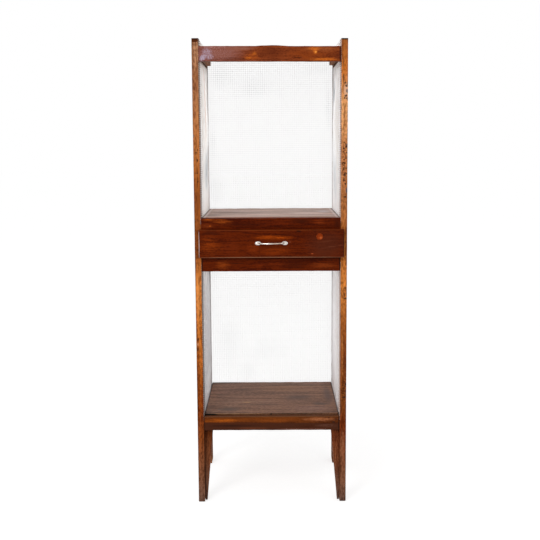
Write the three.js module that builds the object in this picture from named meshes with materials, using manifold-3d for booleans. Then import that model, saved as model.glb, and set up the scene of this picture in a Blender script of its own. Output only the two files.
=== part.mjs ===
// Meat safe: a tall wooden stand on four posts, with one drawer between two open compartments
// that have wire cloth round their sides and back.
// Lengths are in millimetres. X runs across to the right, Y from front to back and Z up from the floor.
import * as THREE from 'three';
import { mergeVertices } from 'three/addons/utils/BufferGeometryUtils.js';
import Module from 'manifold-3d';

const wasm = await Module();
wasm.setup();

// Overall sizes of the stand
const height = 1420; // floor to the tops of the posts
const width = 460; // over the outer faces of the posts
const depth = 404; // front faces of the front posts to back faces of the rear posts

// Clearances
const fitGap = 0.3; // round a tenon, a tongue, a panel's edge or a screw
const overrun = 1; // how far a cut passes the face that it opens

// Posts
const postThickness = 20; // across
const postDepth = 50; // front to back

// Rails and boards
const frontRailThickness = 18; // front to back, for the front and rear rails
const sideRailThickness = 18; // across, for the rails between a front and a rear post
const shelfThickness = 18;
const tenonThickness = 8;
const tenonShoulder = 6; // step above and below a tenon
const frontTenonLength = 12; // into a post's inner face
const sideTenonLength = 25; // into a post's edge

// Top
const postRise = 24; // the posts stand this far above the top rail
const topRailHeight = 44.6;
const topRailSwell = 2.2; // the top edge swells upwards in a low arc
const topRailSwellLeft = 46; // reach of the arc to each side of the middle
const topRailSwellRight = 59;
const topRailSwellSteps = 12;
const sideTopRailHeight = 60;
const sideTopRailDrop = 2; // below the tops of the posts
const rearTopRailHeight = 32;
const topBoardThickness = 10;
const cleatThickness = 13; // across
const cleatHeight = 19;

// Shelves, their rails and what they rest on
const bottomShelfTop = 280.5;
const bottomRailDrop = 5; // the bottom front rail's top lies below the shelf's top
const bottomRailHeight = 44.2;
const sideBottomRailHeight = 45;
const rearBottomRailHeight = 44;
const upperShelfTop = 892;
const upperRailDrop = 1;
const upperRailHeight = 40;
const rearUpperRailHeight = 44;
const bearerThickness = 18; // across, for the bearers, kickers and runners
const bearerHeight = 18;

// Tapered boards that widen the front legs
const taperThickness = 18; // front to back
const taperFootWidth = 6;
const taperTopWidth = 26.5;

// Drawer opening
const openingHeight = 72; // between the rails above and below the drawer
const lowerRailHeight = 50;
const runnerHeight = 22;

// Drawer
const frontThickness = 20;
const frontLap = 6.3; // over the rails above and below
const frontLapSide = 8; // over the posts
const frontShift = 1.6; // the drawer's front sits this far to the right
const frontRounding = 3;
const drawerSideGap = 1.5; // between a drawer side and the carcass
const drawerTopGap = 5; // between a drawer side and the kicker over it
const drawerSideThickness = 10;
const drawerRearGap = 41; // from the drawer sides to the rear rails
const drawerBackThickness = 10;
const drawerBackInset = 10; // from the ends of the drawer sides
const drawerBackDrop = 6; // below the tops of the drawer sides
const drawerBottomThickness = 4;
const drawerBottomRise = 8; // above the lower edges of the drawer sides
const grooveDepth = 5; // for the drawer's bottom, back and sides

// Round wooden plug let into the drawer's front
const plugDiameter = 20;
const plugDepth = 6;
const plugInset = 73.6; // from the right end of the drawer's front to the plug's middle
const plugRise = 21; // above the middle of the drawer's front
const plugSides = 28;

// Bow handle and its screws
const handleLength = 101.7; // over both pads
const handleRise = 2; // above the middle of the drawer's front
const padLength = 20;
const padHeight = 14.6;
const padThickness = 3.6;
const padRounding = 1.2;
const barDiameter = 6.5;
const barInset = 17.4; // from the end of the handle to where the bar's middle leaves the pad
const barShoulder = 12; // how quickly the bar turns sideways
const barReach = 27; // from the drawer's front to the outermost point of the bar
const barSteps = 20;
const barSides = 12;
const screwInset = 8.4; // from the end of the handle to the screw's middle
const screwDiameter = 3.6;
const screwLength = 18; // under the head
const screwPoint = 4;
const screwHeadDiameter = 6.6;
const screwHeadHeight = 1.8;
const screwSlotWidth = 1;
const screwSlotDepth = 0.8;
const screwSides = 16;

// Wire cloth, drawn as a flat net with wider gaps than the woven cloth has
const netThickness = 1;
const netBand = 2; // width of a strand of the net
const netPitch = 50; // about one gap and one strand
const netEdgeGap = 2; // from an edge of the cloth to the piece that it stops at
const netLap = 18; // of the back cloth, over the frame that it is tacked to
const netTopGap = 3; // from the tops of the posts

// Levels and places that follow from the sizes above
const innerFace = width / 2 - postThickness; // the posts' inner faces, from the middle
const rearPostFront = depth - postDepth;
const rearRailFront = depth - frontRailThickness;
const topRailTop = height - postRise;
const topRailUnderside = topRailTop - topRailHeight;
const topBoardUnderside = topRailTop - topBoardThickness;
const cleatUnderside = topBoardUnderside - cleatHeight;
const sideTopRailTop = height - sideTopRailDrop;
const sideTopRailUnderside = sideTopRailTop - sideTopRailHeight;
const upperShelfUnderside = upperShelfTop - shelfThickness;
const upperRailTop = upperShelfTop - upperRailDrop;
const openingTop = upperRailTop - upperRailHeight;
const openingBottom = openingTop - openingHeight;
const lowerRailUnderside = openingBottom - lowerRailHeight;
const runnerUnderside = openingBottom - runnerHeight;
const bottomShelfUnderside = bottomShelfTop - shelfThickness;
const bottomRailTop = bottomShelfTop - bottomRailDrop;
const bottomRailUnderside = bottomRailTop - bottomRailHeight;
const netInnerFace = innerFace - netThickness;
const shelfHalfWidth = netInnerFace - fitGap;
const frontPlane = -fitGap; // back face of the drawer's front
const frontFace = frontPlane - frontThickness;
const barFront = frontFace - barReach;
const netBack = depth + netThickness;
const footprintMiddle = (barFront + netBack) / 2;

// Colours of the finishes
const postWood = { color: 0xa4683a, roughness: 0.55, metalness: 0 };
const railWood = { color: 0x6f3014, roughness: 0.4, metalness: 0 };
const shelfWood = { color: 0x8a6452, roughness: 0.6, metalness: 0 };
const innerWood = { color: 0xa98a66, roughness: 0.75, metalness: 0 };
const plugWood = { color: 0xb05c24, roughness: 0.5, metalness: 0 };
const wireCloth = { color: 0xd9d6d2, roughness: 0.45, metalness: 0.6 };
const handleMetal = { color: 0xd8d4cd, roughness: 0.22, metalness: 1 };

// A block is its spans along X, Y and Z
function block(across, along, up) {
  const [size, middle] = [new THREE.Vector3(), new THREE.Vector3()];
  [across, along, up].forEach(([low, high], axis) => {
    size.setComponent(axis, high - low);
    middle.setComponent(axis, (low + high) / 2);
  });
  return new THREE.BoxGeometry(size.x, size.y, size.z).translate(middle.x, middle.y, middle.z);
}

// Spans on the left (-1) or right (+1), given by distances from the middle
function onSide(side, near, far) {
  return side < 0 ? [-far, -near] : [near, far];
}

function grownSpan([low, high], gap) {
  return [low - gap, high + gap];
}

function toSolid(geometry) {
  const bare = geometry.clone();
  bare.deleteAttribute('normal');
  bare.deleteAttribute('uv');
  const merged = mergeVertices(bare);
  return new wasm.Manifold(new wasm.Mesh({
    numProp: 3,
    vertProperties: merged.attributes.position.array,
    triVerts: new Uint32Array(merged.index.array),
  }));
}

function toGeometry(solid) {
  const mesh = solid.getMesh();
  const geometry = new THREE.BufferGeometry();
  geometry.setAttribute('position', new THREE.BufferAttribute(mesh.vertProperties, 3));
  geometry.setIndex(new THREE.BufferAttribute(mesh.triVerts, 1));
  geometry.computeVertexNormals();
  return geometry;
}

function cut(geometry, ...cutters) {
  return toGeometry(cutters.reduce((rest, cutter) => rest.subtract(toSolid(cutter)), toSolid(geometry)));
}

function join(...geometries) {
  return toGeometry(geometries.map(toSolid).reduce((whole, next) => whole.add(next)));
}

// Outlines drawn across and up get their thickness towards the front
const xAxis = new THREE.Vector3(1, 0, 0);
const yAxis = new THREE.Vector3(0, 1, 0);
const zAxis = new THREE.Vector3(0, 0, 1);
const facingFront = new THREE.Matrix4().makeBasis(xAxis, zAxis, yAxis.clone().negate());

function extruded(outline, thickness, facing, options = {}) {
  const settings = { depth: thickness, bevelEnabled: false, ...options };
  return new THREE.ExtrudeGeometry(outline, settings).applyMatrix4(facing);
}

function rectangle(path, [left, right], [low, high]) {
  path.moveTo(left, low).lineTo(right, low).lineTo(right, high).lineTo(left, high).closePath();
  return path;
}

const safe = new THREE.Group();
const carcass = new THREE.Group();
const drawer = new THREE.Group();
safe.add(carcass, drawer);
safe.position.y = -footprintMiddle;

function addTo(group, name, geometry, finish) {
  const mesh = new THREE.Mesh(geometry, new THREE.MeshStandardMaterial(finish));
  mesh.name = name;
  group.add(mesh);
}

const sides = [['left', -1], ['right', 1]];

// Rails: each has a tenon that runs through it from end to end and out into the posts
function frontTenon(along, up) {
  const middle = (along[0] + along[1]) / 2;
  const reach = innerFace + frontTenonLength;
  return [
    [-reach, reach],
    [middle - tenonThickness / 2, middle + tenonThickness / 2],
    grownSpan(up, -tenonShoulder),
  ];
}

function sideTenon(side, up) {
  const middle = innerFace + sideRailThickness / 2;
  return [
    onSide(side, middle - tenonThickness / 2, middle + tenonThickness / 2),
    [postDepth - sideTenonLength, rearPostFront + sideTenonLength],
    grownSpan(up, -tenonShoulder),
  ];
}

function mortise([across, along, up]) {
  return block(grownSpan(across, fitGap), grownSpan(along, fitGap), grownSpan(up, fitGap));
}

const frontSpan = [0, frontRailThickness];
const rearSpan = [rearRailFront, depth];
const crossRails = [
  { name: 'upper_front_rail', along: frontSpan, up: [openingTop, upperRailTop], finish: railWood },
  { name: 'lower_front_rail', along: frontSpan, up: [lowerRailUnderside, openingBottom], finish: railWood },
  { name: 'bottom_front_rail', along: frontSpan, up: [bottomRailUnderside, bottomRailTop], finish: railWood },
  {
    name: 'top_rear_rail',
    along: rearSpan,
    up: [topBoardUnderside, topBoardUnderside + rearTopRailHeight],
    finish: innerWood,
  },
  {
    name: 'upper_rear_rail',
    along: rearSpan,
    up: [upperShelfUnderside - rearUpperRailHeight, upperShelfUnderside],
    finish: innerWood,
  },
  { name: 'lower_rear_rail', along: rearSpan, up: [lowerRailUnderside, openingBottom], finish: innerWood },
  {
    name: 'bottom_rear_rail',
    along: rearSpan,
    up: [bottomShelfUnderside - rearBottomRailHeight, bottomShelfUnderside],
    finish: innerWood,
  },
];
for (const { name, along, up, finish } of crossRails) {
  const rail = block([-innerFace, innerFace], along, up);
  addTo(carcass, name, join(rail, block(...frontTenon(along, up))), finish);
}

// The top rail's upper edge swells near the middle
const topRailSpan = [topRailUnderside, topRailTop];
const topRailOutline = new THREE.Shape()
  .moveTo(-innerFace, topRailUnderside)
  .lineTo(innerFace, topRailUnderside)
  .lineTo(innerFace, topRailTop);
for (let step = 0; step <= topRailSwellSteps; step += 1) {
  const share = step / topRailSwellSteps;
  const across = THREE.MathUtils.lerp(topRailSwellRight, -topRailSwellLeft, share);
  topRailOutline.lineTo(across, topRailTop + topRailSwell * Math.sin(Math.PI * share));
}
topRailOutline.lineTo(-innerFace, topRailTop);
const topRail = extruded(topRailOutline, frontRailThickness, facingFront).translate(0, frontRailThickness, 0);
addTo(carcass, 'top_front_rail', join(topRail, block(...frontTenon(frontSpan, topRailSpan))), railWood);

const sideRails = [
  { name: 'side_top_rail', up: [sideTopRailUnderside, sideTopRailTop] },
  { name: 'side_drawer_board', up: [lowerRailUnderside, upperShelfTop] },
  { name: 'side_bottom_rail', up: [bottomRailTop - sideBottomRailHeight, bottomRailTop] },
];
for (const [word, side] of sides) {
  for (const { name, up } of sideRails) {
    const across = onSide(side, innerFace, innerFace + sideRailThickness);
    const rail = block(across, [postDepth, rearPostFront], up);
    addTo(carcass, `${name}_${word}`, join(rail, block(...sideTenon(side, up))), postWood);
  }
}

// Posts with a mortise for each rail
const postRows = [
  { place: 'front', along: [0, postDepth], tenonSpan: frontSpan },
  { place: 'rear', along: [rearPostFront, depth], tenonSpan: rearSpan },
];
for (const { place, along, tenonSpan } of postRows) {
  const crossTenons = crossRails
    .filter((rail) => rail.along === tenonSpan)
    .map((rail) => frontTenon(rail.along, rail.up));
  if (place === 'front') crossTenons.push(frontTenon(frontSpan, topRailSpan));
  for (const [word, side] of sides) {
    const tenons = [...crossTenons, ...sideRails.map((rail) => sideTenon(side, rail.up))];
    const post = block(onSide(side, innerFace, innerFace + postThickness), along, [0, height]);
    addTo(carcass, `${place}_post_${word}`, cut(post, ...tenons.map(mortise)), postWood);
  }
}

// Tapered boards behind the bottom front rail, glued to the front posts
const taperSpan = [frontRailThickness, frontRailThickness + taperThickness];
for (const [word, side] of sides) {
  const outline = new THREE.Shape()
    .moveTo(side * innerFace, 0)
    .lineTo(side * (innerFace - taperFootWidth), 0)
    .lineTo(side * (innerFace - taperTopWidth), bottomRailUnderside)
    .lineTo(side * (innerFace - taperTopWidth), bottomShelfUnderside)
    .lineTo(side * innerFace, bottomShelfUnderside);
  const taper = extruded(outline, taperThickness, facingFront).translate(0, taperSpan[1], 0);
  addTo(carcass, `leg_taper_${word}`, taper, railWood);
}

// Bearers under the bottom shelf, drawer runners, kickers over the drawer that carry the upper shelf,
// and cleats that carry the top board
const bearerRows = [
  {
    name: 'bottom_bearer',
    from: taperSpan[1],
    up: [bottomShelfUnderside - bearerHeight, bottomShelfUnderside],
  },
  { name: 'drawer_runner', from: frontRailThickness, up: [runnerUnderside, openingBottom] },
  { name: 'drawer_kicker', from: frontRailThickness, up: [openingTop, upperShelfUnderside] },
];
for (const [word, side] of sides) {
  for (const { name, from, up } of bearerRows) {
    const across = onSide(side, innerFace - bearerThickness, innerFace);
    addTo(carcass, `${name}_${word}`, block(across, [from, rearRailFront], up), innerWood);
  }
  const cleat = block(
    onSide(side, netInnerFace - cleatThickness, netInnerFace),
    [frontRailThickness, rearPostFront],
    [cleatUnderside, topBoardUnderside],
  );
  addTo(carcass, `top_cleat_${word}`, cleat, innerWood);
}

// Shelves and top board
const shelfAcross = [-shelfHalfWidth, shelfHalfWidth];
const upperShelf = block(shelfAcross, [frontRailThickness, depth], [upperShelfUnderside, upperShelfTop]);
const bottomShelf = block(shelfAcross, [frontRailThickness, depth], [bottomShelfUnderside, bottomShelfTop]);
const topBoard = block(shelfAcross, [frontRailThickness, rearRailFront], [topBoardUnderside, topRailTop]);
addTo(carcass, 'upper_shelf', upperShelf, shelfWood);
addTo(carcass, 'bottom_shelf', bottomShelf, shelfWood);
addTo(carcass, 'top_board', topBoard, innerWood);

// Wire cloth: a sheet with rows of square gaps in its open field
function gapSpans([low, high]) {
  const count = Math.max(1, Math.round((high - low) / netPitch));
  const gap = (high - low - netBand * (count - 1)) / count;
  return Array.from({ length: count }, (_, index) => {
    const start = low + index * (gap + netBand);
    return [start, start + gap];
  });
}

const sideSheetAlong = [frontRailThickness + netEdgeGap, rearRailFront - netEdgeGap];
const sideSheets = [
  {
    name: 'side_cloth_upper',
    sheetUp: [upperShelfUnderside + netEdgeGap, height - netTopGap],
    fieldUp: [upperShelfTop, sideTopRailUnderside],
  },
  {
    name: 'side_cloth_lower',
    sheetUp: [bottomShelfUnderside + netEdgeGap, runnerUnderside - netEdgeGap],
    fieldUp: [bottomShelfTop, lowerRailUnderside],
  },
];
for (const [word, side] of sides) {
  const across = onSide(side, netInnerFace, innerFace);
  for (const { name, sheetUp, fieldUp } of sideSheets) {
    const gaps = gapSpans([postDepth, rearPostFront]).flatMap((gapAlong) => (
      gapSpans(fieldUp).map((gapUp) => block(grownSpan(across, overrun), gapAlong, gapUp))
    ));
    addTo(carcass, `${name}_${word}`, cut(block(across, sideSheetAlong, sheetUp), ...gaps), wireCloth);
  }
}

const backAcross = [-innerFace, innerFace];
const backFieldUp = [bottomShelfUnderside, topBoardUnderside];
const backSheetAlong = [depth, netBack];
const backGaps = gapSpans(backAcross).flatMap((gapAcross) => (
  gapSpans(backFieldUp).map((gapUp) => block(gapAcross, grownSpan(backSheetAlong, overrun), gapUp))
));
const backSheet = block(grownSpan(backAcross, netLap), backSheetAlong, grownSpan(backFieldUp, netLap));
addTo(carcass, 'back_cloth', cut(backSheet, ...backGaps), wireCloth);

// Drawer box: sides, back and bottom, whose edges run in grooves
const drawerHalfWidth = innerFace - drawerSideGap;
const drawerInnerFace = drawerHalfWidth - drawerSideThickness;
const drawerSideUp = [openingBottom + fitGap, openingTop - drawerTopGap];
const drawerEnd = rearRailFront - drawerRearGap;
const tongue = grooveDepth - fitGap; // how far an edge enters its groove
const bottomUp = [
  drawerSideUp[0] + drawerBottomRise,
  drawerSideUp[0] + drawerBottomRise + drawerBottomThickness,
];
const drawerBottom = [
  [-drawerInnerFace - tongue, drawerInnerFace + tongue],
  [frontPlane - tongue, drawerEnd],
  bottomUp,
];
const backAlong = [drawerEnd - drawerBackInset - drawerBackThickness, drawerEnd - drawerBackInset];
const drawerBack = [
  [-drawerInnerFace - tongue, drawerInnerFace + tongue],
  backAlong,
  [bottomUp[1] + fitGap, drawerSideUp[1] - drawerBackDrop],
];
const bottomGroove = block(
  grownSpan(drawerBottom[0], fitGap),
  [frontPlane - grooveDepth, drawerEnd + overrun],
  grownSpan(bottomUp, fitGap),
);
const backGroove = block(
  grownSpan(drawerBack[0], fitGap),
  grownSpan(backAlong, fitGap),
  [bottomUp[1], drawerSideUp[1] + overrun],
);
const sideGrooves = [];
for (const [word, side] of sides) {
  const across = onSide(side, drawerInnerFace, drawerHalfWidth);
  const along = [frontPlane - tongue, drawerEnd];
  sideGrooves.push(block(
    grownSpan(across, fitGap),
    [frontPlane - grooveDepth, frontPlane + overrun],
    grownSpan(drawerSideUp, fitGap),
  ));
  const plank = cut(block(across, along, drawerSideUp), bottomGroove, backGroove);
  addTo(drawer, `drawer_side_${word}`, plank, innerWood);
}
addTo(drawer, 'drawer_back', block(...drawerBack), innerWood);
addTo(drawer, 'drawer_bottom', block(...drawerBottom), innerWood);

// Drawer front: laps over the rails and posts, and has a rounded front edge
const frontHalfWidth = innerFace + frontLapSide;
const frontUp = [openingBottom - frontLap, openingTop + frontLap];
const frontMiddle = (frontUp[0] + frontUp[1]) / 2;
const frontOutline = rectangle(
  new THREE.Shape(),
  [frontShift - frontHalfWidth + frontRounding, frontShift + frontHalfWidth - frontRounding],
  [frontUp[0] + frontRounding, frontUp[1] - frontRounding],
);
const roundedFront = extruded(frontOutline, frontThickness, facingFront, {
  bevelEnabled: true,
  bevelThickness: frontRounding,
  bevelSize: frontRounding,
  bevelSegments: 3,
}).translate(0, frontFace + frontRounding + frontThickness, 0);
const behindFront = block(
  grownSpan([frontShift - frontHalfWidth, frontShift + frontHalfWidth], overrun),
  [frontPlane, frontPlane + frontThickness],
  grownSpan(frontUp, overrun),
);

// Cylinder along Y, from one depth to another
function roundPeg(diameter, sidesRound, across, up, [near, far]) {
  return new THREE.CylinderGeometry(diameter / 2, diameter / 2, far - near, sidesRound)
    .translate(across, (near + far) / 2, up);
}

const plugPlace = [frontShift + frontHalfWidth - plugInset, frontMiddle + plugRise];
const plugRecess = roundPeg(plugDiameter + 2 * fitGap, plugSides, ...plugPlace, [
  frontFace - overrun,
  frontFace + plugDepth + fitGap,
]);
const plug = roundPeg(plugDiameter, plugSides, ...plugPlace, [frontFace, frontFace + plugDepth]);

const handleHeight = frontMiddle + handleRise;
const padFront = frontFace - padThickness;
const screwAcross = handleLength / 2 - screwInset;
const screwHoles = sides.map(([, side]) => roundPeg(
  screwDiameter + 2 * fitGap,
  screwSides,
  frontShift + side * screwAcross,
  handleHeight,
  [padFront - overrun, padFront + screwLength + overrun],
));
addTo(
  drawer,
  'drawer_front',
  cut(roundedFront, behindFront, ...sideGrooves, bottomGroove, plugRecess, ...screwHoles),
  railWood,
);
addTo(drawer, 'drawer_front_plug', plug, plugWood);

// Bow handle: two oval pads and a round bar that bows out between them
const padOutline = new THREE.Shape().absellipse(
  0,
  0,
  padLength / 2 - padRounding,
  padHeight / 2 - padRounding,
  0,
  2 * Math.PI,
);
const pads = sides.map(([, side]) => {
  const pad = extruded(padOutline, padThickness, facingFront, {
    bevelEnabled: true,
    bevelThickness: padRounding,
    bevelSize: padRounding,
    bevelSegments: 2,
    curveSegments: 12,
  }).translate(
    frontShift + side * (handleLength - padLength) / 2,
    padFront + padRounding + padThickness,
    handleHeight,
  );
  const behindPad = block(
    [frontShift - handleLength, frontShift + handleLength],
    [frontFace, frontFace + padThickness],
    [handleHeight - padHeight, handleHeight + padHeight],
  );
  return cut(pad, behindPad);
});
const barRadius = barDiameter / 2;
const bezierPeakShare = 0.75; // a curve with level ends and controls rises to this share of its controls
const barRootDepth = frontFace - padThickness / 2;
const barControlDepth = barRootDepth - (barRootDepth - (barFront + barRadius)) / bezierPeakShare;
const barStart = handleLength / 2 - barInset;
const barControlAcross = barStart - barShoulder;
const barPath = new THREE.CubicBezierCurve3(
  new THREE.Vector3(frontShift - barStart, barRootDepth, handleHeight),
  new THREE.Vector3(frontShift - barControlAcross, barControlDepth, handleHeight),
  new THREE.Vector3(frontShift + barControlAcross, barControlDepth, handleHeight),
  new THREE.Vector3(frontShift + barStart, barRootDepth, handleHeight),
);
const barSection = new THREE.Shape();
for (let corner = 0; corner < barSides; corner += 1) {
  const angle = (2 * Math.PI * corner) / barSides;
  const [across, up] = [barRadius * Math.cos(angle), barRadius * Math.sin(angle)];
  if (corner === 0) barSection.moveTo(across, up);
  else barSection.lineTo(across, up);
}
const bar = new THREE.ExtrudeGeometry(barSection, { steps: barSteps, extrudePath: barPath });
addTo(drawer, 'drawer_handle', cut(join(...pads, bar), ...screwHoles), handleMetal);

// Screws with slotted round heads, driven through the pads into the drawer's front
for (const [word, side] of sides) {
  const profile = [
    [0, -screwHeadHeight],
    [screwHeadDiameter / 4, -screwHeadHeight],
    [screwHeadDiameter / 2, 0],
    [screwDiameter / 2, 0],
    [screwDiameter / 2, screwLength - screwPoint],
    [0, screwLength],
  ].map(([radius, down]) => new THREE.Vector2(radius, down));
  const screw = new THREE.LatheGeometry(profile, screwSides)
    .translate(frontShift + side * screwAcross, padFront, handleHeight);
  const slot = block(
    grownSpan([frontShift + side * screwAcross, frontShift + side * screwAcross], screwHeadDiameter),
    [padFront - screwHeadHeight - overrun, padFront - screwHeadHeight + screwSlotDepth],
    grownSpan([handleHeight, handleHeight], screwSlotWidth / 2),
  );
  addTo(drawer, `handle_screw_${word}`, cut(screw, slot), handleMetal);
}

export default safe;
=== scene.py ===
import math

import bmesh
import bpy
from mathutils import Matrix, Vector, noise


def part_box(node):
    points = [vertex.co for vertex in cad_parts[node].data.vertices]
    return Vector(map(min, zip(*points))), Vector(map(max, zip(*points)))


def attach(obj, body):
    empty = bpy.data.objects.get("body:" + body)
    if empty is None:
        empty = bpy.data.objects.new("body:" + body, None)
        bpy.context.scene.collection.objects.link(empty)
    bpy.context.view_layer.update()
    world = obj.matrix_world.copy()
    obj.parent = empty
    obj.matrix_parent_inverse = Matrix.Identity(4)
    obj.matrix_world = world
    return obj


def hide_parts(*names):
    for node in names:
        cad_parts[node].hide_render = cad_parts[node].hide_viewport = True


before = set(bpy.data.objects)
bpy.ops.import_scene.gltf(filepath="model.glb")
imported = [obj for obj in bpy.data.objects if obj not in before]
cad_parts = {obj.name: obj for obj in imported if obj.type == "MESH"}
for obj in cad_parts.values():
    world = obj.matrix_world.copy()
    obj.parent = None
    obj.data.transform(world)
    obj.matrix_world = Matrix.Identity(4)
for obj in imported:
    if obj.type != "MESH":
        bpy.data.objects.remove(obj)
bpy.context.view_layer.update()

# A tall wooden meat safe with one drawer between two open compartments, and wire cloth round its
# sides and back. Blender's lengths are metres. Lengths below are millimetres times MM, and plain
# millimetres where marks and boards are listed.
MM = 0.001
X, Y, Z = 0, 1, 2
MERGE = 0.01 * MM
WIRE_PITCH = 6.35 * MM

# Levels and faces of the frame
front_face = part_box("front_post_left")[0].y
front_post_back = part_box("front_post_left")[1].y
rear_post_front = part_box("rear_post_left")[0].y
rear_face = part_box("rear_post_left")[1].y
post_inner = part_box("front_post_right")[0].x
post_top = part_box("front_post_right")[1].z
drawer_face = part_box("drawer_front")[0].y
drawer_level = (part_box("drawer_front")[0].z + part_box("drawer_front")[1].z) / 2


def pitch_between_rows(length):
    """The pitch nearest the cloth's own at which an even count of gaps fits a length."""
    return length / (2 * round(length / (2 * WIRE_PITCH)))


def colour(red, green, blue):
    """A screen colour, from 0 to 255, as Blender's linear red, green, blue and alpha."""
    def linear(value):
        share = value / 255
        return share / 12.92 if share <= 0.04045 else ((share + 0.055) / 1.055) ** 2.4
    return (linear(red), linear(green), linear(blue), 1)


def grey(value):
    return (value, value, value, 1)


# Shader nodes

class Tree:
    """Adds nodes to a shader tree. Each input is a plain value or another node's output."""

    def __init__(self, tree):
        self.tree = tree

    def add(self, kind, inputs=None, **settings):
        node = self.tree.nodes.new("ShaderNode" + kind)
        for name, value in settings.items():
            setattr(node, name, value)
        self.fill(node, inputs or {})
        return node

    def fill(self, node, inputs):
        for key, value in inputs.items():
            if isinstance(value, bpy.types.NodeSocket):
                self.tree.links.new(value, node.inputs[key])
            else:
                node.inputs[key].default_value = value

    def math(self, operation, *values):
        return self.add("Math", dict(enumerate(values)), operation=operation).outputs[0]

    def times(self, *values):
        return self.math("MULTIPLY", *values)

    def plus(self, *values):
        return self.math("ADD", *values)

    def minus(self, *values):
        return self.math("SUBTRACT", *values)

    def over(self, *values):
        return self.math("DIVIDE", *values)

    def most(self, *values):
        return self.math("MAXIMUM", *values)

    def parts(self, vector):
        return self.add("SeparateXYZ", {0: vector}).outputs

    def vector(self, operation, *values):
        node = self.add("VectorMath", dict(enumerate(values)), operation=operation)
        return node.outputs["Value" if operation == "LENGTH" else "Vector"]

    def between(self, value, low, high, new_low=0.0, new_high=1.0):
        keys = ("Value", "From Min", "From Max", "To Min", "To Max")
        inputs = dict(zip(keys, (value, low, high, new_low, new_high)))
        return self.add("MapRange", inputs, interpolation_type="SMOOTHSTEP").outputs[0]

    def blend(self, share, below, above, mode="MIX"):
        node = self.add("Mix", {0: share, 6: below, 7: above}, data_type="RGBA", blend_type=mode)
        return node.outputs[2]

    def cloud(self, place, size, detail=2.0, roughness=0.5):
        """Noise from 0 to 1 whose lumps are about the given size."""
        inputs = {"Vector": place, "Scale": 1 / size, "Detail": detail, "Roughness": roughness}
        return self.add("TexNoise", inputs).outputs[0]

    def scaled(self, place, scale, shift=(0, 0, 0), turn=(0, 0, 0)):
        inputs = {"Vector": place, "Location": shift, "Rotation": turn, "Scale": scale}
        return self.add("Mapping", inputs).outputs[0]

    def shared(self, group, inputs):
        node = self.add("Group")
        node.node_tree = group
        self.fill(node, inputs)
        return node.outputs


SOCKETS = {"value": "NodeSocketFloat", "place": "NodeSocketVector", "colour": "NodeSocketColor"}


def shared_group(name, inputs, outputs):
    """An empty node group with named sockets, its Tree, its input sockets and its output node."""
    group = bpy.data.node_groups.new(name, "ShaderNodeTree")
    for socket, kind in inputs.items():
        group.interface.new_socket(name=socket, in_out="INPUT", socket_type=SOCKETS[kind])
    for socket, kind in outputs.items():
        group.interface.new_socket(name=socket, in_out="OUTPUT", socket_type=SOCKETS[kind])
    tree = Tree(group)
    entry = group.nodes.new("NodeGroupInput")
    leave = group.nodes.new("NodeGroupOutput")
    return group, tree, entry.outputs, leave


def make_wood_grain():
    """Sawn wood with its grain along X: bands, streaks, short flecks, fibres, specks and pores."""
    group, tree, given, result = shared_group(
        "sawn wood grain",
        {
            "Place": "place", "Base": "colour", "Pale": "colour", "Dark": "colour",
            "Streak Size": "value", "Fleck Size": "value", "Fleck Share": "value",
            "Speck Share": "value",
        },
        {"Color": "colour", "Streaks": "value", "Height": "value"},
    )
    bend_length, bend_y, bend_z = 180 * MM, 26 * MM, 19 * MM
    band, fibre, speck, pore = 30 * MM, 1.1 * MM, 2.2 * MM, 0.8 * MM
    bend = tree.cloud(tree.scaled(given["Place"], (1, 3, 3)), bend_length, 1.0)
    offset = {"Y": tree.times(bend, bend_y), "Z": tree.times(bend, bend_z)}
    bent = tree.vector("ADD", given["Place"], tree.add("CombineXYZ", offset).outputs[0])

    def lumps(stretch, per_size, detail, low, high):
        inputs = {"Vector": tree.scaled(bent, (stretch, 1, 1)), "Scale": per_size, "Detail": detail}
        return tree.between(tree.add("TexNoise", inputs).outputs[0], low, high)

    per_streak = tree.over(1.0, given["Streak Size"])
    per_fleck = tree.over(1.0, given["Fleck Size"])
    streaks = lumps(0.035, per_streak, 5.0, 0.34, 0.66)
    bands = lumps(0.09, 1 / band, 2.0, 0.36, 0.64)
    flecks = lumps(0.4, per_fleck, 3.0, 0.36, 0.64)
    fibres = lumps(0.035, 1 / fibre, 3.0, 0.3, 0.7)
    specks = lumps(0.6, 1 / speck, 1.0, 0.62, 0.68)
    pores = lumps(0.1, 1 / pore, 1.0, 0.62, 0.72)
    broad = tree.plus(tree.times(streaks, 0.65), tree.times(bands, 0.35))
    mixed = tree.add("Mix", {0: given["Fleck Share"], 2: broad, 3: flecks}).outputs[0]
    mixed = tree.plus(tree.times(mixed, 0.88), tree.times(fibres, 0.12))
    mixed = tree.between(mixed, 0.16, 0.84)
    shaded = tree.blend(1.0, given["Base"], tree.blend(mixed, given["Pale"], given["Dark"]), "MULTIPLY")
    opened = tree.times(pores, 0.3)
    speckled = tree.times(specks, given["Speck Share"])
    darker = tree.most(opened, speckled)
    tint = tree.blend(darker, shaded, given["Dark"], "MULTIPLY")
    height = tree.minus(tree.times(fibres, 0.35), tree.times(pores, 0.6))
    height = tree.minus(height, tree.times(speckled, 0.8))
    tree.fill(result, {"Color": tint, "Streaks": mixed, "Height": height})
    return group


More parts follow.
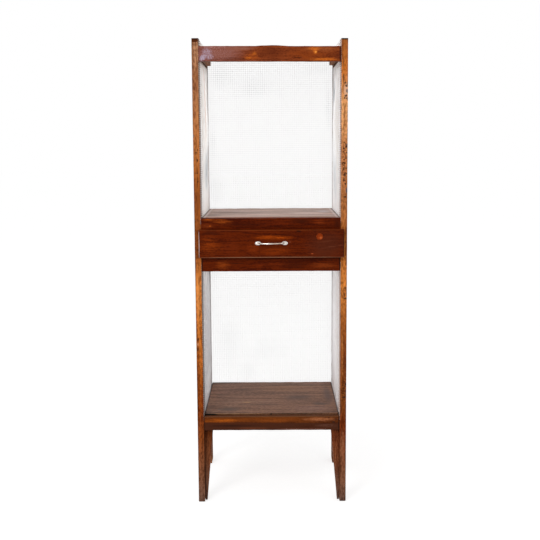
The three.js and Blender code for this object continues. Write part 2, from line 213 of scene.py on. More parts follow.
def make_arris_wear():
    """How near a point on a board is to one of the board's edges, ragged like rubbed finish."""
    group, tree, given, result = shared_group(
        "rubbed arris",
        {"Place": "place", "Middle": "place", "Half": "place", "Width": "value"},
        {"Mask": "value"},
    )
    out = tree.vector("ABSOLUTE", tree.vector("SUBTRACT", given["Place"], given["Middle"]))
    inward = tree.parts(tree.vector("SUBTRACT", given["Half"], out))
    total = tree.plus(tree.plus(inward[0], inward[1]), inward[2])
    least = tree.math("MINIMUM", tree.math("MINIMUM", inward[0], inward[1]), inward[2])
    most = tree.most(tree.most(inward[0], inward[1]), inward[2])
    second = tree.minus(tree.minus(total, least), most)
    lump, least_width = 9 * MM, 0.2 * MM
    lumps = tree.cloud(given["Place"], lump, 4.0, 0.65)
    reach = tree.times(given["Width"], tree.between(lumps, 0.35, 0.68))
    mask = tree.minus(1.0, tree.over(second, tree.most(reach, least_width)))
    tree.fill(result, {"Mask": tree.between(mask, 0.0, 0.7)})
    return group


def make_soft_spot():
    """An oval patch with a ragged rim. Place is measured from its middle in shares of its reach."""
    group, tree, given, result = shared_group(
        "ragged spot",
        {
            "Place": "place", "Point": "place", "Ragged": "value", "Lump Size": "value",
            "Core": "value", "Broken": "value", "Sparse": "value",
        },
        {"Mask": "value"},
    )
    per_lump = tree.over(1.0, given["Lump Size"])
    inputs = {"Vector": given["Point"], "Scale": per_lump, "Detail": 4.0, "Roughness": 0.65}
    lumps = tree.add("TexNoise", inputs).outputs[0]
    shift = tree.times(tree.minus(lumps, 0.5), given["Ragged"])
    away = tree.plus(tree.vector("LENGTH", given["Place"]), shift)
    whole = tree.between(away, 1.0, given["Core"])
    per_grain = tree.times(per_lump, 1.9)
    inputs = {"Vector": given["Point"], "Scale": per_grain, "Detail": 3.0, "Roughness": 0.6}
    bits = tree.minus(tree.add("TexNoise", inputs).outputs[0], given["Sparse"])
    bits = tree.between(bits, 0.46, 0.57)
    left = tree.minus(1.0, tree.times(given["Broken"], tree.minus(1.0, bits)))
    tree.fill(result, {"Mask": tree.times(whole, left)})
    return group


WOOD_GRAIN = make_wood_grain()
ARRIS_WEAR = make_arris_wear()
SOFT_SPOT = make_soft_spot()


# Finishes

def tone(red, green, blue):
    """A multiplier for a base colour."""
    return (red, green, blue, 1)


OLD_OIL = {  # worn oiled wood of the posts and side rails
    "slot": "post_wood",
    "base": colour(176, 108, 54), "pale": tone(1.5, 1.52, 1.5), "dark": tone(0.55, 0.46, 0.38),
    "streak": 9 * MM, "fleck": 4 * MM, "fleck_share": 0.42, "speck_share": 0.5,
    "rubbed": colour(92, 50, 24), "rubbed_share": 0.6, "wear": 4 * MM,
    "roughness": 0.55, "specular": 0.04,
}
SIDE_OIL = {**OLD_OIL, "base": colour(166, 100, 50), "fleck_share": 0.22, "speck_share": 0.2}
RED_VARNISH = {  # deep red-brown varnish of the rails and the drawer's front
    "slot": "rail_wood",
    "base": colour(82, 23, 1), "pale": tone(1.5, 1.7, 1.8), "dark": tone(0.6, 0.5, 0.5),
    "streak": 3.2 * MM, "fleck": 2.4 * MM, "fleck_share": 0.32, "speck_share": 0.25,
    "rubbed": colour(118, 70, 44), "rubbed_share": 0.3, "wear": 1.6 * MM,
    "roughness": 0.36, "specular": 0.035,
}
TOP_VARNISH = {**RED_VARNISH, "base": colour(114, 48, 19), "rubbed": colour(70, 30, 18)}
FOOT_VARNISH = {**RED_VARNISH, "base": colour(84, 38, 12)}
LEG_VARNISH = {**RED_VARNISH, "base": colour(120, 62, 34), "rubbed_share": 0.1}
GREY_SHEEN_VARNISH = {  # dulled finish of the upper shelf; its pale grey base is painted sheen of reflected white
    "slot": "shelf_wood",
    "base": colour(198, 164, 148), "pale": tone(1.3, 1.3, 1.32), "dark": tone(0.48, 0.42, 0.39),
    "streak": 15 * MM, "fleck": 6 * MM, "fleck_share": 0.16, "speck_share": 0.1,
    "rubbed": colour(120, 84, 70), "rubbed_share": 0.5, "wear": 3 * MM,
    "roughness": 0.45, "specular": 0.2,
}
DULL_VARNISH = {  # brown, dulled finish of the bottom shelf
    "slot": "shelf_wood",
    "base": colour(130, 91, 69), "pale": tone(1.42, 1.4, 1.36), "dark": tone(0.56, 0.56, 0.58),
    "streak": 9 * MM, "fleck": 4 * MM, "fleck_share": 0.35, "speck_share": 0.3,
    "rubbed": colour(66, 44, 34), "rubbed_share": 0.6, "wear": 2.4 * MM,
    "roughness": 0.5, "specular": 0.1,
}
BARE_WOOD = {  # inner pieces that were never varnished
    "slot": "inner_wood",
    "base": colour(186, 140, 98), "pale": tone(1.2, 1.2, 1.18), "dark": tone(0.72, 0.64, 0.56),
    "streak": 6 * MM, "fleck": 2.6 * MM, "fleck_share": 0.25, "speck_share": 0.15,
    "rubbed": colour(112, 80, 54), "rubbed_share": 0.5, "wear": 2.5 * MM,
    "roughness": 0.72, "specular": 0.15,
}
CLEAT_WOOD = {**BARE_WOOD, "base": colour(164, 116, 90)}
PLUG_WOOD = {
    "slot": "plug_wood",
    "base": colour(136, 50, 9), "pale": tone(1.15, 1.2, 1.2), "dark": tone(0.8, 0.75, 0.7),
    "streak": 3 * MM, "fleck": 2 * MM, "fleck_share": 0.5, "speck_share": 0.3,
    "rubbed": colour(60, 20, 4), "rubbed_share": 0.8, "wear": 1.6 * MM,
    "roughness": 0.42, "specular": 0.05,
}

LEVEL_WAVER = 40 * MM  # how much the heights at which a post changes colour wander
WAVER_LENGTH = 30 * MM
WIRE_SHADING_FADE = 1 * MM  # how softly the wires' painted shade ends at the cloth's upper and lower edge
WIRE_SHADING_DEPTH = (1.2 * MM, 0.4 * MM)  # how deep in a post's inner face they fade in
GRAIN_DEPTH = 0.25 * MM
TURN = {X: (0, 0, 0), Y: (0, 0, -math.pi / 2), Z: (0, math.pi / 2, 0)}  # lays the grain along X


def spot(
    place, reach, tint, share=1.0, ragged=0.5, lump=4, tilt=0.0, sunk=0.0,
    core=0.55, broken=0.0, streaky=0.0, along=0.4, sparse=0.0,
):
    """A mark on a board. Place is in metres, reach in millimetres, and core is its fully covered share."""
    return {
        "place": place, "reach": Vector(reach) * MM, "tint": tint, "share": share, "core": core,
        "ragged": ragged, "lump": lump * MM, "tilt": math.radians(tilt), "sunk": sunk,
        "broken": broken, "streaky": streaky, "along": along, "sparse": sparse,
    }


def glow(place, reach, tint, share=0.7, lump=9, streaky=0.8, tilt=0.0):
    """A soft patch of another shade that lets the wood's dark streaks through."""
    return spot(place, reach, tint, share, 0.9, lump, tilt, core=0.1, streaky=streaky, along=0.2)


class Face:
    """A board's face that takes marks, placed and sized in millimetres across it and up it.

    On a lying face, such as a shelf's, up means back from the posts' front faces.
    """

    def __init__(self, level, thick, lying=False):
        self.level = level
        self.thick = thick
        self.lying = lying

    def mark(self, kind, across, up, wide, tall, *look, thick=None, behind=0, **more):
        """A spot or a glow. Thick is its reach through the board, behind how deep its middle lies."""
        thick = thick or self.thick
        if self.lying:
            place = (across * MM, front_face + up * MM, self.level - behind * MM)
            return kind(Vector(place), (wide, tall, thick), *look, **more)
        place = (across * MM, self.level + behind * MM, up * MM)
        return kind(Vector(place), (wide, thick, tall), *look, **more)

    def spot(self, *values, **more):
        return self.mark(spot, *values, **more)

    def glow(self, *values, **more):
        return self.mark(glow, *values, **more)


POSTS = Face(front_face, 6)
RAILS = Face(front_face, 8)
DRAWER = Face(drawer_face, 6)


def on_row(tree, height, lowest, pitch, wide):
    """One on each wire that runs front to back, and nothing between two of them."""
    row = tree.over(tree.minus(height, lowest), pitch)
    return tree.between(tree.math("PINGPONG", row, 0.5), wide + 0.04, wide - 0.04)


def new_material(name):
    """A new material with its Tree, its shader and the point of the piece that is shaded."""
    material = bpy.data.materials.new(name)
    material.use_nodes = True
    tree = Tree(material.node_tree)
    shader = material.node_tree.nodes["Principled BSDF"]
    return material, tree, shader, tree.add("TexCoord").outputs["Object"]


def wood_material(name, finish, low, high, grain, levels=(), spots=(), shift=(0, 0, 0), wire_shading=()):
    """Wood for one board that reaches from low to high. Levels give its colour by height in mm.

    Wire shading paints shade between the wire rows onto a front post's inner face, and the wires' pale
    rows over it.
    """
    material, tree, shader, point = new_material(name)
    base = finish["base"]
    if levels:
        height = tree.parts(point)[Z]
        waver = tree.times(tree.minus(tree.cloud(point, WAVER_LENGTH, 3.0), 0.5), LEVEL_WAVER)
        share = tree.over(tree.plus(height, waver), post_top)
        ramp = tree.add("ValToRGB", {0: share})
        stops = ramp.color_ramp.elements
        while len(stops) < len(levels):
            stops.new(0.5)
        for stop, (level, tint) in zip(stops, sorted(levels)):
            stop.position = level * MM / post_top
            stop.color = tint
        base = ramp.outputs[0]
    turned = tree.scaled(point, (1, 1, 1), shift, TURN[grain])
    wood = tree.shared(WOOD_GRAIN, {
        "Place": turned, "Base": base, "Pale": finish["pale"], "Dark": finish["dark"],
        "Streak Size": finish["streak"], "Fleck Size": finish["fleck"],
        "Fleck Share": finish["fleck_share"], "Speck Share": finish["speck_share"],
    })
    tint, height = wood["Color"], wood["Height"]
    for mark in spots:
        share_place = tree.add("Mapping", {
            "Vector": point, "Location": mark["place"],
            "Rotation": (0, mark["tilt"], 0), "Scale": mark["reach"],
        }, vector_type="TEXTURE").outputs[0]
        mask = tree.shared(SOFT_SPOT, {
            "Place": share_place, "Point": tree.scaled(turned, (mark["along"], 1, 1)),
            "Ragged": mark["ragged"], "Lump Size": mark["lump"], "Core": mark["core"],
            "Broken": mark["broken"], "Sparse": mark["sparse"],
        })["Mask"]
        covered = tree.times(mask, mark["share"])
        if mark["streaky"]:
            shown = tree.math("MULTIPLY_ADD", wood["Streaks"], -mark["streaky"], 1.0)
            covered = tree.times(covered, shown)
        tint = tree.blend(covered, tint, mark["tint"])
        if mark["sunk"]:
            height = tree.minus(height, tree.times(mask, mark["sunk"]))
    # Painted shade between the wire rows on a front post's inner face, with the wires' pale rows painted
    # over it
    for cloth, between_wires, under_wires in wire_shading:
        lowest, highest = (corner.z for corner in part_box(cloth))
        axes = tree.parts(point)
        across = tree.math("ABSOLUTE", axes[X])
        face = tree.between(across, *(post_inner + depth for depth in WIRE_SHADING_DEPTH))
        face = tree.times(face, tree.between(axes[Z], lowest - WIRE_SHADING_FADE, lowest))
        face = tree.times(face, tree.between(axes[Z], highest + WIRE_SHADING_FADE, highest))
        wires = on_row(tree, axes[Z], lowest, pitch_between_rows(highest - lowest), 0.2)
        tint = tree.blend(face, tint, tree.blend(wires, between_wires, under_wires))
    rubbed = tree.shared(ARRIS_WEAR, {
        "Place": point, "Middle": (low + high) / 2, "Half": (high - low) / 2, "Width": finish["wear"],
    })["Mask"]
    tint = tree.blend(tree.times(rubbed, finish["rubbed_share"]), tint, finish["rubbed"])
    rough = tree.plus(finish["roughness"], tree.times(wood["Streaks"], 0.06))
    bump = tree.add("Bump", {"Strength": 0.6, "Distance": GRAIN_DEPTH, "Height": height}).outputs[0]
    tree.fill(shader, {
        "Base Color": tint, "Roughness": rough, "Normal": bump,
        "Specular IOR Level": finish["specular"],
    })
    return material


# How the varnish that was brushed over the cloth's laps, and the painted shade along the rear posts, end
LAP_FADE = 6 * MM
REAR_LAP_DARKENS = (90 * MM, 30 * MM)  # below the top of the open field, over which the painted shade along the rear post grows
RAIL_LAP = (38 * MM, 30 * MM)  # above the top of the open field
FIELD_EDGE = 1 * MM

SPANGLE = 14 * MM
DULL_CLOUD = 60 * MM


def wire_material(name, bright, dull, rows, patches=(), stain=None, field=None):
    """Dull galvanised wire. Rows give the level of the lowest wire that lies flat, and the pitch.

    Where a side's cloth lies on the front posts and on the frame above its field, the varnish was brushed
    over it. On the front posts only the wires that run front to back still shine through. Along the rear
    posts the wire greys with painted shade.
    """
    material, tree, shader, point = new_material(name)
    spangle = tree.between(tree.cloud(point, SPANGLE, 3.0), 0.35, 0.7)
    cloudy = tree.between(tree.cloud(tree.scaled(point, (1, 1, 0.35)), DULL_CLOUD, 2.0), 0.4, 0.65)
    tint = tree.blend(spangle, bright, dull)
    tint = tree.blend(tree.times(cloudy, 0.6), tint, dull)
    metallic = 1.0
    lowest, pitch = rows
    axes = tree.parts(point)
    wires = on_row(tree, axes[Z], lowest, pitch, 0.18)
    if not field:
        tint = tree.blend(wires, tint, colour(240, 240, 241))
    else:
        field_top = field[1]
        front = tree.between(axes[Y], front_post_back, front_post_back - LAP_FADE)
        front = tree.times(front, tree.minus(1.0, wires))
        # Painted shade: along the rear post the wire greys, more towards the top of its field
        rear = tree.between(axes[Y], rear_post_front - LAP_FADE, rear_post_front)
        from_level, to_level = (field_top - below for below in REAR_LAP_DARKENS)
        rear = tree.times(rear, tree.between(axes[Z], from_level, to_level, 0.35, 0.95))
        above = tree.between(axes[Z], field_top - FIELD_EDGE, field_top + FIELD_EDGE)
        from_level, to_level = (field_top + over for over in RAIL_LAP)
        above = tree.times(above, tree.between(axes[Z], from_level, to_level))
        stained = tree.most(tree.most(front, rear), above)
        tint = tree.blend(tree.times(rear, 0.9), tint, colour(128, 120, 116))
        tint = tree.blend(above, tint, tree.blend(wires, colour(84, 58, 44), colour(196, 168, 146)))
        tint = tree.blend(front, tint, stain)
        metallic = tree.math("MULTIPLY_ADD", stained, -metallic, metallic)
    # Patches of painted light, shade and reflection, and greyer wire
    for place, reach, share, shade in patches:
        inputs = {"Vector": point, "Location": place, "Scale": Vector(reach) * MM}
        patch = tree.add("Mapping", inputs, vector_type="TEXTURE").outputs[0]
        mask = tree.shared(SOFT_SPOT, {
            "Place": patch, "Point": point, "Ragged": 0.8, "Lump Size": DULL_CLOUD, "Core": 0.0,
        })["Mask"]
        tint = tree.blend(tree.times(mask, share), tint, shade)
    rough = tree.between(spangle, 0.0, 1.0, 0.36, 0.5)
    tree.fill(shader, {
        "Base Color": tint, "Roughness": rough, "Metallic": metallic, "Specular IOR Level": 0.1,
    })
    return material


WOOD_REFLECTION_START = (-14 * MM, 16 * MM)  # across, where the painted reflection of the wood on the handle sets in
WOOD_REFLECTION_END = (34 * MM, 28 * MM)
HAZE = 7 * MM
SCRATCH = 0.5 * MM
SCRATCH_DEPTH = 0.05 * MM


def bright_metal():
    """Bright plated metal, a little hazy and scratched, with a brownish painted reflection of the wood in
    one place.
    """
    material, tree, shader, point = new_material("bright handle metal")
    haze = tree.between(tree.cloud(point, HAZE, 3.0), 0.4, 0.75)
    scratches = tree.cloud(tree.scaled(point, (0.12, 1, 1)), SCRATCH, 2.0)
    tint = tree.blend(haze, colour(226, 220, 214), colour(186, 178, 170))
    across = tree.parts(point)[X]
    # Painted reflection: the metal turns brownish over a stretch, as if it mirrored the drawer's wood
    rubbed = tree.times(tree.between(across, *WOOD_REFLECTION_START), tree.between(across, *WOOD_REFLECTION_END))
    tint = tree.blend(tree.times(rubbed, 0.75), tint, colour(160, 132, 112))
    rough = tree.plus(tree.between(haze, 0.0, 1.0, 0.2, 0.34), tree.times(scratches, 0.08))
    relief = {"Strength": 0.15, "Distance": SCRATCH_DEPTH, "Height": scratches}
    bump = tree.add("Bump", relief).outputs[0]
    tree.fill(shader, {"Base Color": tint, "Roughness": rough, "Metallic": 1.0, "Normal": bump})
    return material


# Mesh helpers

WEAR_LUMPS = (22 * MM, 7 * MM)  # broad and fine unevenness of a worn edge
ROUNDED_TURN = math.radians(35)  # edges that turn by less stay as they are
NEAR = 0.05 * MM
FOOT_WEAR = 4.5 * MM
TOP_RAIL_SHIFT = (1.8 * MM, -0.7 * MM)  # upwards, at its left and right end
TOP_WEAR = 2.2 * MM  # how much lower the right front post's top is worn
TOP_ZONE = 8 * MM


def cut_across(shape, place, normal, **more):
    """Adds edges where a plane crosses a shape."""
    whole = shape.verts[:] + shape.edges[:] + shape.faces[:]
    bmesh.ops.bisect_plane(shape, geom=whole, dist=MERGE, plane_co=place, plane_no=normal, **more)


def face_outwards(shape):
    bmesh.ops.recalc_face_normals(shape, faces=shape.faces)


def open_edges(shape):
    return [edge for edge in shape.edges if edge.is_boundary]


def extruded(shape, edges):
    """Extrudes a ring of edges and gives the new ring's points and edges."""
    grown = bmesh.ops.extrude_edge_only(shape, edges=edges)["geom"]
    ring = [item for item in grown if isinstance(item, bmesh.types.BMVert)]
    return ring, [item for item in grown if isinstance(item, bmesh.types.BMEdge)]


def show(name, shape, material, body, slot, *nodes, sharp=40, even_faces=True):
    """Makes a piece of the mesh and lets it ride on its body in place of the frame's nodes."""
    mesh = bpy.data.meshes.new(name)
    shape.to_mesh(mesh)
    shape.free()
    mesh.materials.append(material)
    mesh.polygons.foreach_set("use_smooth", [True] * len(mesh.polygons))
    mesh.set_sharp_from_angle(angle=math.radians(sharp))
    piece = bpy.data.objects.new(name, mesh)
    bpy.context.scene.collection.objects.link(piece)
    if even_faces:
        piece.modifiers.new("flat faces stay flat", "WEIGHTED_NORMAL").keep_sharp = True
    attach(piece, body)
    if nodes:
        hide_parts(*nodes)
    return piece


def finished_mesh(shape, *modifiers):
    """The mesh that a bmesh becomes under modifiers, given as a kind and its settings each."""
    mesh = bpy.data.meshes.new("rough")
    shape.to_mesh(mesh)
    shape.free()
    blank = bpy.data.objects.new("rough", mesh)
    bpy.context.scene.collection.objects.link(blank)
    for kind, settings in modifiers:
        modifier = blank.modifiers.new(kind, kind)
        for name, value in settings.items():
            setattr(modifier, name, value)
    ready = blank.evaluated_get(bpy.context.evaluated_depsgraph_get())
    result = bmesh.new()
    result.from_mesh(ready.to_mesh())
    ready.to_mesh_clear()
    bpy.data.objects.remove(blank)
    bpy.data.meshes.remove(mesh)
    return result


def merged_copy(node):
    """A node of the frame with its loose triangles joined into whole faces."""
    shape = bmesh.new()
    shape.from_mesh(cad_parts[node].data)
    bmesh.ops.remove_doubles(shape, verts=shape.verts, dist=MERGE)
    bmesh.ops.dissolve_limit(
        shape, angle_limit=math.radians(0.1), verts=shape.verts, edges=shape.edges
    )
    return shape


def cross_cut(shape, axis, low, high, step):
    """Cuts a shape across at even steps, so that its edges can waver."""
    count = max(1, round((high - low) / step))
    for index in range(1, count):
        place, normal = Vector(), Vector()
        place[axis] = low + (high - low) * index / count
        normal[axis] = 1
        cut_across(shape, place, normal)


def round_over(shape, edges, rounding, worn, still=()):
    """Rounds edges and wears them unevenly. Points never move along the axes in still."""
    made = bmesh.ops.bevel(
        shape, geom=edges, offset=rounding, offset_type="OFFSET", segments=3, profile=0.5,
        affect="EDGES", clamp_overlap=True, material=-1,
    )
    shape.normal_update()
    for point in made["verts"]:
        broad, fine = (noise.noise(point.co / size) for size in WEAR_LUMPS)
        lumps = broad + 0.5 * fine
        push = -worn * min(1.0, max(0.0, 0.45 + lumps)) * point.normal
        for axis in still:
            push[axis] = 0
        point.co += push


def near_end(point, low, high, axis, reach):
    """Whether a point is within reach of a box's lower or upper end on an axis."""
    return min(abs(point[axis] - low[axis]), abs(point[axis] - high[axis])) < reach


def on_box_edge(point, low, high):
    """Whether a point lies on an edge line of a box."""
    return sum(near_end(point, low, high, axis, NEAR) for axis in (X, Y, Z)) >= 2


def on_outline(node, point):
    """Whether a point is on the outline of the front or back of a board that is no plain box."""
    if node not in ("top_front_rail", "leg_taper_left", "leg_taper_right"):
        return False
    return near_end(point, *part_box(node), Y, NEAR)


def body_box(node):
    """A board's box without its tenons."""
    low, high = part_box(node)
    if node.endswith("_rail") and not node.startswith("side"):
        low.x, high.x = -post_inner, post_inner
    if node.startswith("side_") and "cloth" not in node:
        low.y, high.y = front_post_back, rear_post_front
    return low, high


def settle(shape, left, right):
    """Shifts a front rail up by so much at its left and right end. The tenons stay."""
    for point in shape.verts:
        if abs(point.co.x) <= post_inner + MERGE:
            share = (point.co.x / post_inner + 1) / 2
            point.co.z += left + (right - left) * share


def wear_foot(shape, low, high, wear):
    """Rounds the lower end of a leg all round, as years of dragging over floors do."""
    for share in (0.12, 0.3, 0.55, 1.0):
        cut_across(shape, (0, 0, wear * share), (0, 0, 1))
    for point in shape.verts:
        if point.co.z >= wear:
            continue
        left = wear - point.co.z
        inset = wear - math.sqrt(wear ** 2 - left ** 2)
        for axis in (X, Y):
            middle, half = (low[axis] + high[axis]) / 2, (high[axis] - low[axis]) / 2
            point.co[axis] = middle + (point.co[axis] - middle) * (half - inset) / half


def board(
    node, finish, rounding, worn, step,
    levels=(), spots=(), shift=(0, 0, 0), wire_shading=(), body="carcass",
):
    """A wooden board: the frame's node with rounded, worn arrises and grain of its own.

    Rounding, worn and step, the length between cuts where the wear can change, are millimetres.
    """
    low, high = body_box(node)
    along = max((X, Y, Z), key=lambda axis: high[axis] - low[axis])
    shape = merged_copy(node)
    cross_cut(shape, along, low[along], high[along], step * MM)
    if node.endswith("shelf"):
        second = X + Y - along
        cross_cut(shape, second, low[second], high[second], step * 2 * MM)
    has_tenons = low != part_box(node)[0]
    edges = []
    for edge in shape.edges:
        middle = (edge.verts[0].co + edge.verts[1].co) / 2
        if edge.calc_face_angle(0) < ROUNDED_TURN:
            continue
        if has_tenons and near_end(middle, low, high, along, 2 * NEAR):
            continue
        inside = low[along] - MERGE < middle[along] < high[along] + MERGE
        if inside and (on_box_edge(middle, low, high) or on_outline(node, middle)):
            edges.append(edge)
    round_over(shape, edges, rounding * MM, worn * MM, still=(along,))
    if node == "top_front_rail":
        settle(shape, *TOP_RAIL_SHIFT)
    if "_post_" in node:
        wear_foot(shape, low, high, FOOT_WEAR)
    if node == "front_post_right":
        for point in shape.verts:
            if point.co.z > high.z - TOP_ZONE:
                point.co.z -= TOP_WEAR
    material = wood_material(f"{node} wood", finish, low, high, along, levels, spots, shift, wire_shading)
    return show(f"{node}_board", shape, material, body, finish["slot"], node)


# Posts

# Shades of the oil on the posts
SCUFFED = colour(104, 76, 64)
DULL_BROWN = colour(126, 80, 56)
DEEP_BROWN = colour(126, 64, 26)
DEEP_RED = colour(114, 46, 12)
BROWN = colour(142, 78, 32)
ORANGE = colour(178, 99, 38)
BRIGHT_ORANGE = colour(202, 122, 55)
TAN = colour(168, 102, 54)
DULL_TAN = colour(152, 98, 62)
WORN_TAN = colour(164, 116, 84)
PALE_TAN = colour(208, 146, 94)
# On the left post, the dark band from 780 mm beside the drawer is painted shade
POST_LEVELS_LEFT = [
    (0, SCUFFED), (90, DULL_BROWN), (210, DEEP_BROWN), (325, DEEP_RED), (460, ORANGE),
    (690, BRIGHT_ORANGE), (780, DEEP_BROWN), (1000, BROWN), (1110, TAN), (1240, DULL_TAN),
    (1310, DULL_TAN), (1360, WORN_TAN),
]
POST_LEVELS_RIGHT = [
    (0, SCUFFED), (90, DULL_BROWN), (250, DEEP_RED), (340, BROWN), (450, DEEP_BROWN), (560, BROWN),
    (680, BRIGHT_ORANGE), (860, BROWN), (900, TAN), (1130, PALE_TAN), (1230, PALE_TAN),
    (1330, ORANGE), (1400, BROWN),
]
REAR_POST_LEVELS = [
    (0, DULL_TAN), (80, DULL_TAN), (150, DULL_BROWN), (400, BROWN), (900, TAN), (1400, DULL_TAN),
    (1413, DEEP_BROWN),
]
PAINTED_LIGHT_FACE = colour(244, 234, 224)
DARK_SCAR_AND_SHADE = colour(56, 32, 24)
GREY_SCAR = colour(92, 84, 88)
PALE_SCAR = colour(226, 176, 142)
RED_MOTTLE = colour(98, 44, 24)
RED_ORANGE = colour(206, 128, 76)
DARK_DOTS = colour(48, 20, 12)
BRIGHT_BARE = colour(228, 156, 92)
DARK_TOP = colour(80, 36, 8)
DARK_END = colour(42, 20, 8)


def scar(across, up, wide, tall, share, ragged=0.8, **more):
    """A dark dent or screw hole in a post's front."""
    return POSTS.spot(across, up, wide, tall, DARK_SCAR_AND_SHADE, share, ragged, **more)


LEFT_MARKS = [
    POSTS.spot(-220, 1421, 40, 15, DARK_TOP, ragged=0.3, lump=9, core=0.85, behind=25, thick=60),
    POSTS.spot(-220, 1421, 40, 7, DARK_END, ragged=0.3, lump=9, core=0.6, behind=25, thick=60),
    scar(-229, 1173, 2.2, 4, 0.85),
    POSTS.spot(-228.4, 1136, 3, 5, GREY_SCAR, 0.9),
    POSTS.spot(-228, 1136, 1.2, 2.4, PALE_SCAR, 0.6, thick=8),
    scar(-217, 1095, 2.2, 5, 0.85),
    scar(-222, 1087, 4, 3.2, 0.7, tilt=-20),
    scar(-218, 1064, 2.6, 6, 1, ragged=0.6, sunk=0.5),
    scar(-219, 1026, 3, 3.4, 0.8),
    scar(-224.6, 1026, 2, 2.6, 0.55, ragged=0.5),
    scar(-217, 1001, 2.4, 4, 0.8),
    POSTS.spot(-209.6, 878, 3.2, 12, GREY_SCAR, 0.95, ragged=0.8, sunk=1, thick=4),
    POSTS.spot(-221, 1280, 7, 16, RED_MOTTLE, 0.6, ragged=1.6, lump=5, broken=0.7),
    POSTS.spot(-224, 1200, 6, 14, RED_MOTTLE, 0.6, ragged=1.6, lump=5, broken=0.6),
    POSTS.spot(-219, 950, 9, 34, RED_MOTTLE, 0.5, ragged=1.6, lump=6, broken=0.6),
    POSTS.spot(-216, 1210, 5, 60, BRIGHT_BARE, 0.4, ragged=1.4, lump=7, broken=0.7),
    POSTS.spot(-222, 650, 6, 90, BRIGHT_BARE, 0.45, ragged=1.4, lump=7, broken=0.8),
    scar(-225, 520, 4.4, 7.5, 0.95, ragged=1, lump=4, broken=0.5, sunk=0.6),
    POSTS.spot(-225, 504, 4, 7, PALE_SCAR, 0.3, ragged=1, lump=5),
    scar(-225.4, 489, 4.4, 7.5, 0.95, ragged=1, lump=4, broken=0.5, sunk=0.6),
    POSTS.spot(-221, 340, 9, 70, colour(190, 98, 30), 0.45, ragged=1.4, lump=8, broken=0.8),
]
RIGHT_MARKS = [
    POSTS.spot(220, 1419, 40, 8, DARK_TOP, ragged=0.3, lump=9, core=0.5, behind=25, thick=60),
    POSTS.spot(220, 1419, 40, 6, DARK_END, ragged=0.3, lump=9, core=0.7, behind=25, thick=60),
    scar(216.7, 1350, 1.6, 26, 0.7, ragged=1, sunk=0.5),
    scar(216.6, 1301, 1.5, 22, 0.85, sunk=0.8),
    POSTS.spot(224, 1266, 8, 30, PALE_SCAR, 0.8, ragged=0.6, core=0.4, thick=8),
    scar(222, 1289, 4.4, 3.4, 0.9, tilt=-14),
    scar(225.4, 1281, 4.4, 5, 1, ragged=0.4, sunk=1, thick=8),
    POSTS.spot(225, 1283, 1.8, 1.6, PALE_SCAR, 0.8, ragged=0.3, thick=8),
    POSTS.spot(227, 1266, 3, 7, GREY_SCAR, 0.95, ragged=0.7, sunk=1, thick=8),
    scar(224.4, 1252, 4.4, 5, 1, ragged=0.4, tilt=30, sunk=1, thick=8),
    POSTS.spot(223.6, 1254, 1.8, 1.6, PALE_SCAR, 0.8, ragged=0.3, thick=8),
    scar(220.8, 1245, 3.4, 3, 0.9, ragged=0.5),
    scar(226.6, 1244, 3, 3.8, 0.9, ragged=0.5, sunk=1, thick=8),
    POSTS.spot(226.5, 1105, 3, 7, GREY_SCAR, 0.9, ragged=0.9),
    POSTS.spot(221, 1050, 12, 100, RED_ORANGE, 0.6, ragged=1.2, lump=9, core=0.6, along=0.8, thick=8),
    POSTS.spot(
        222, 1060, 9, 84, DARK_DOTS, 1, ragged=0.8, lump=8, broken=1, sunk=0.6, core=0.75, along=1,
        sparse=0.02,
    ),
    scar(225, 1072, 2.4, 8, 0.8, ragged=1.2, lump=4, sunk=0.8, along=0.9),
    scar(218.6, 1085, 1.8, 5, 0.75, ragged=1.2, lump=3, along=0.9),
    scar(220, 1047, 1.8, 4, 0.8, ragged=1.2, lump=3, along=0.9),
    scar(222, 1020, 3, 9, 0.9, ragged=1.3, lump=4, sunk=0.8),
    scar(218, 1003, 2.4, 5, 0.85, ragged=1.2, lump=3),
    scar(224.2, 991.5, 2.8, 5, 0.9),
    POSTS.spot(227, 972, 3, 11, GREY_SCAR, 1, ragged=1, sunk=1),
    scar(223.6, 953, 4, 3.6, 1, sunk=0.8),
    scar(219, 930, 1, 26, 0.5),
    scar(225, 677, 3.4, 3.6, 1, ragged=0.6, sunk=0.6),
    scar(222.5, 656, 1.8, 9, 1, ragged=0.6, sunk=0.6),
    scar(226, 645, 5.2, 3, 1, ragged=0.6, sunk=0.8),
    POSTS.spot(222, 660, 7, 26, RED_MOTTLE, 0.4, ragged=1.4, lump=5, broken=0.8),
    scar(227.4, 377.5, 3, 6, 1),
    POSTS.spot(222, 362, 9, 36, DARK_DOTS, 0.9, ragged=1, lump=7, broken=1, core=0.7, along=1),
    scar(222, 335, 10, 2.4, 0.9),
    scar(214, 305, 2, 34, 0.8),
    POSTS.spot(217, 470, 3, 90, BRIGHT_BARE, 0.35, ragged=1.4, lump=7, broken=0.8),
    POSTS.spot(218, 180, 8, 60, colour(180, 122, 84), 0.4, ragged=1.4, lump=6, broken=0.8),
]
REAR_POSTS = Face(rear_post_front, 6)
REAR_MARKS = {  # the rear posts' front faces, behind the wire cloth, are painted pale: painted light that brightens the cloth seen against them
    "left": [REAR_POSTS.spot(-220, 1125, 40, 250, PAINTED_LIGHT_FACE, core=0.96, ragged=0.1)],
    "right": [
        REAR_POSTS.spot(220, 1125, 40, 250, PAINTED_LIGHT_FACE, core=0.96, ragged=0.1),
        REAR_POSTS.spot(220, 505, 40, 250, PAINTED_LIGHT_FACE, 0.5, core=0.96, ragged=0.1),
    ],
}
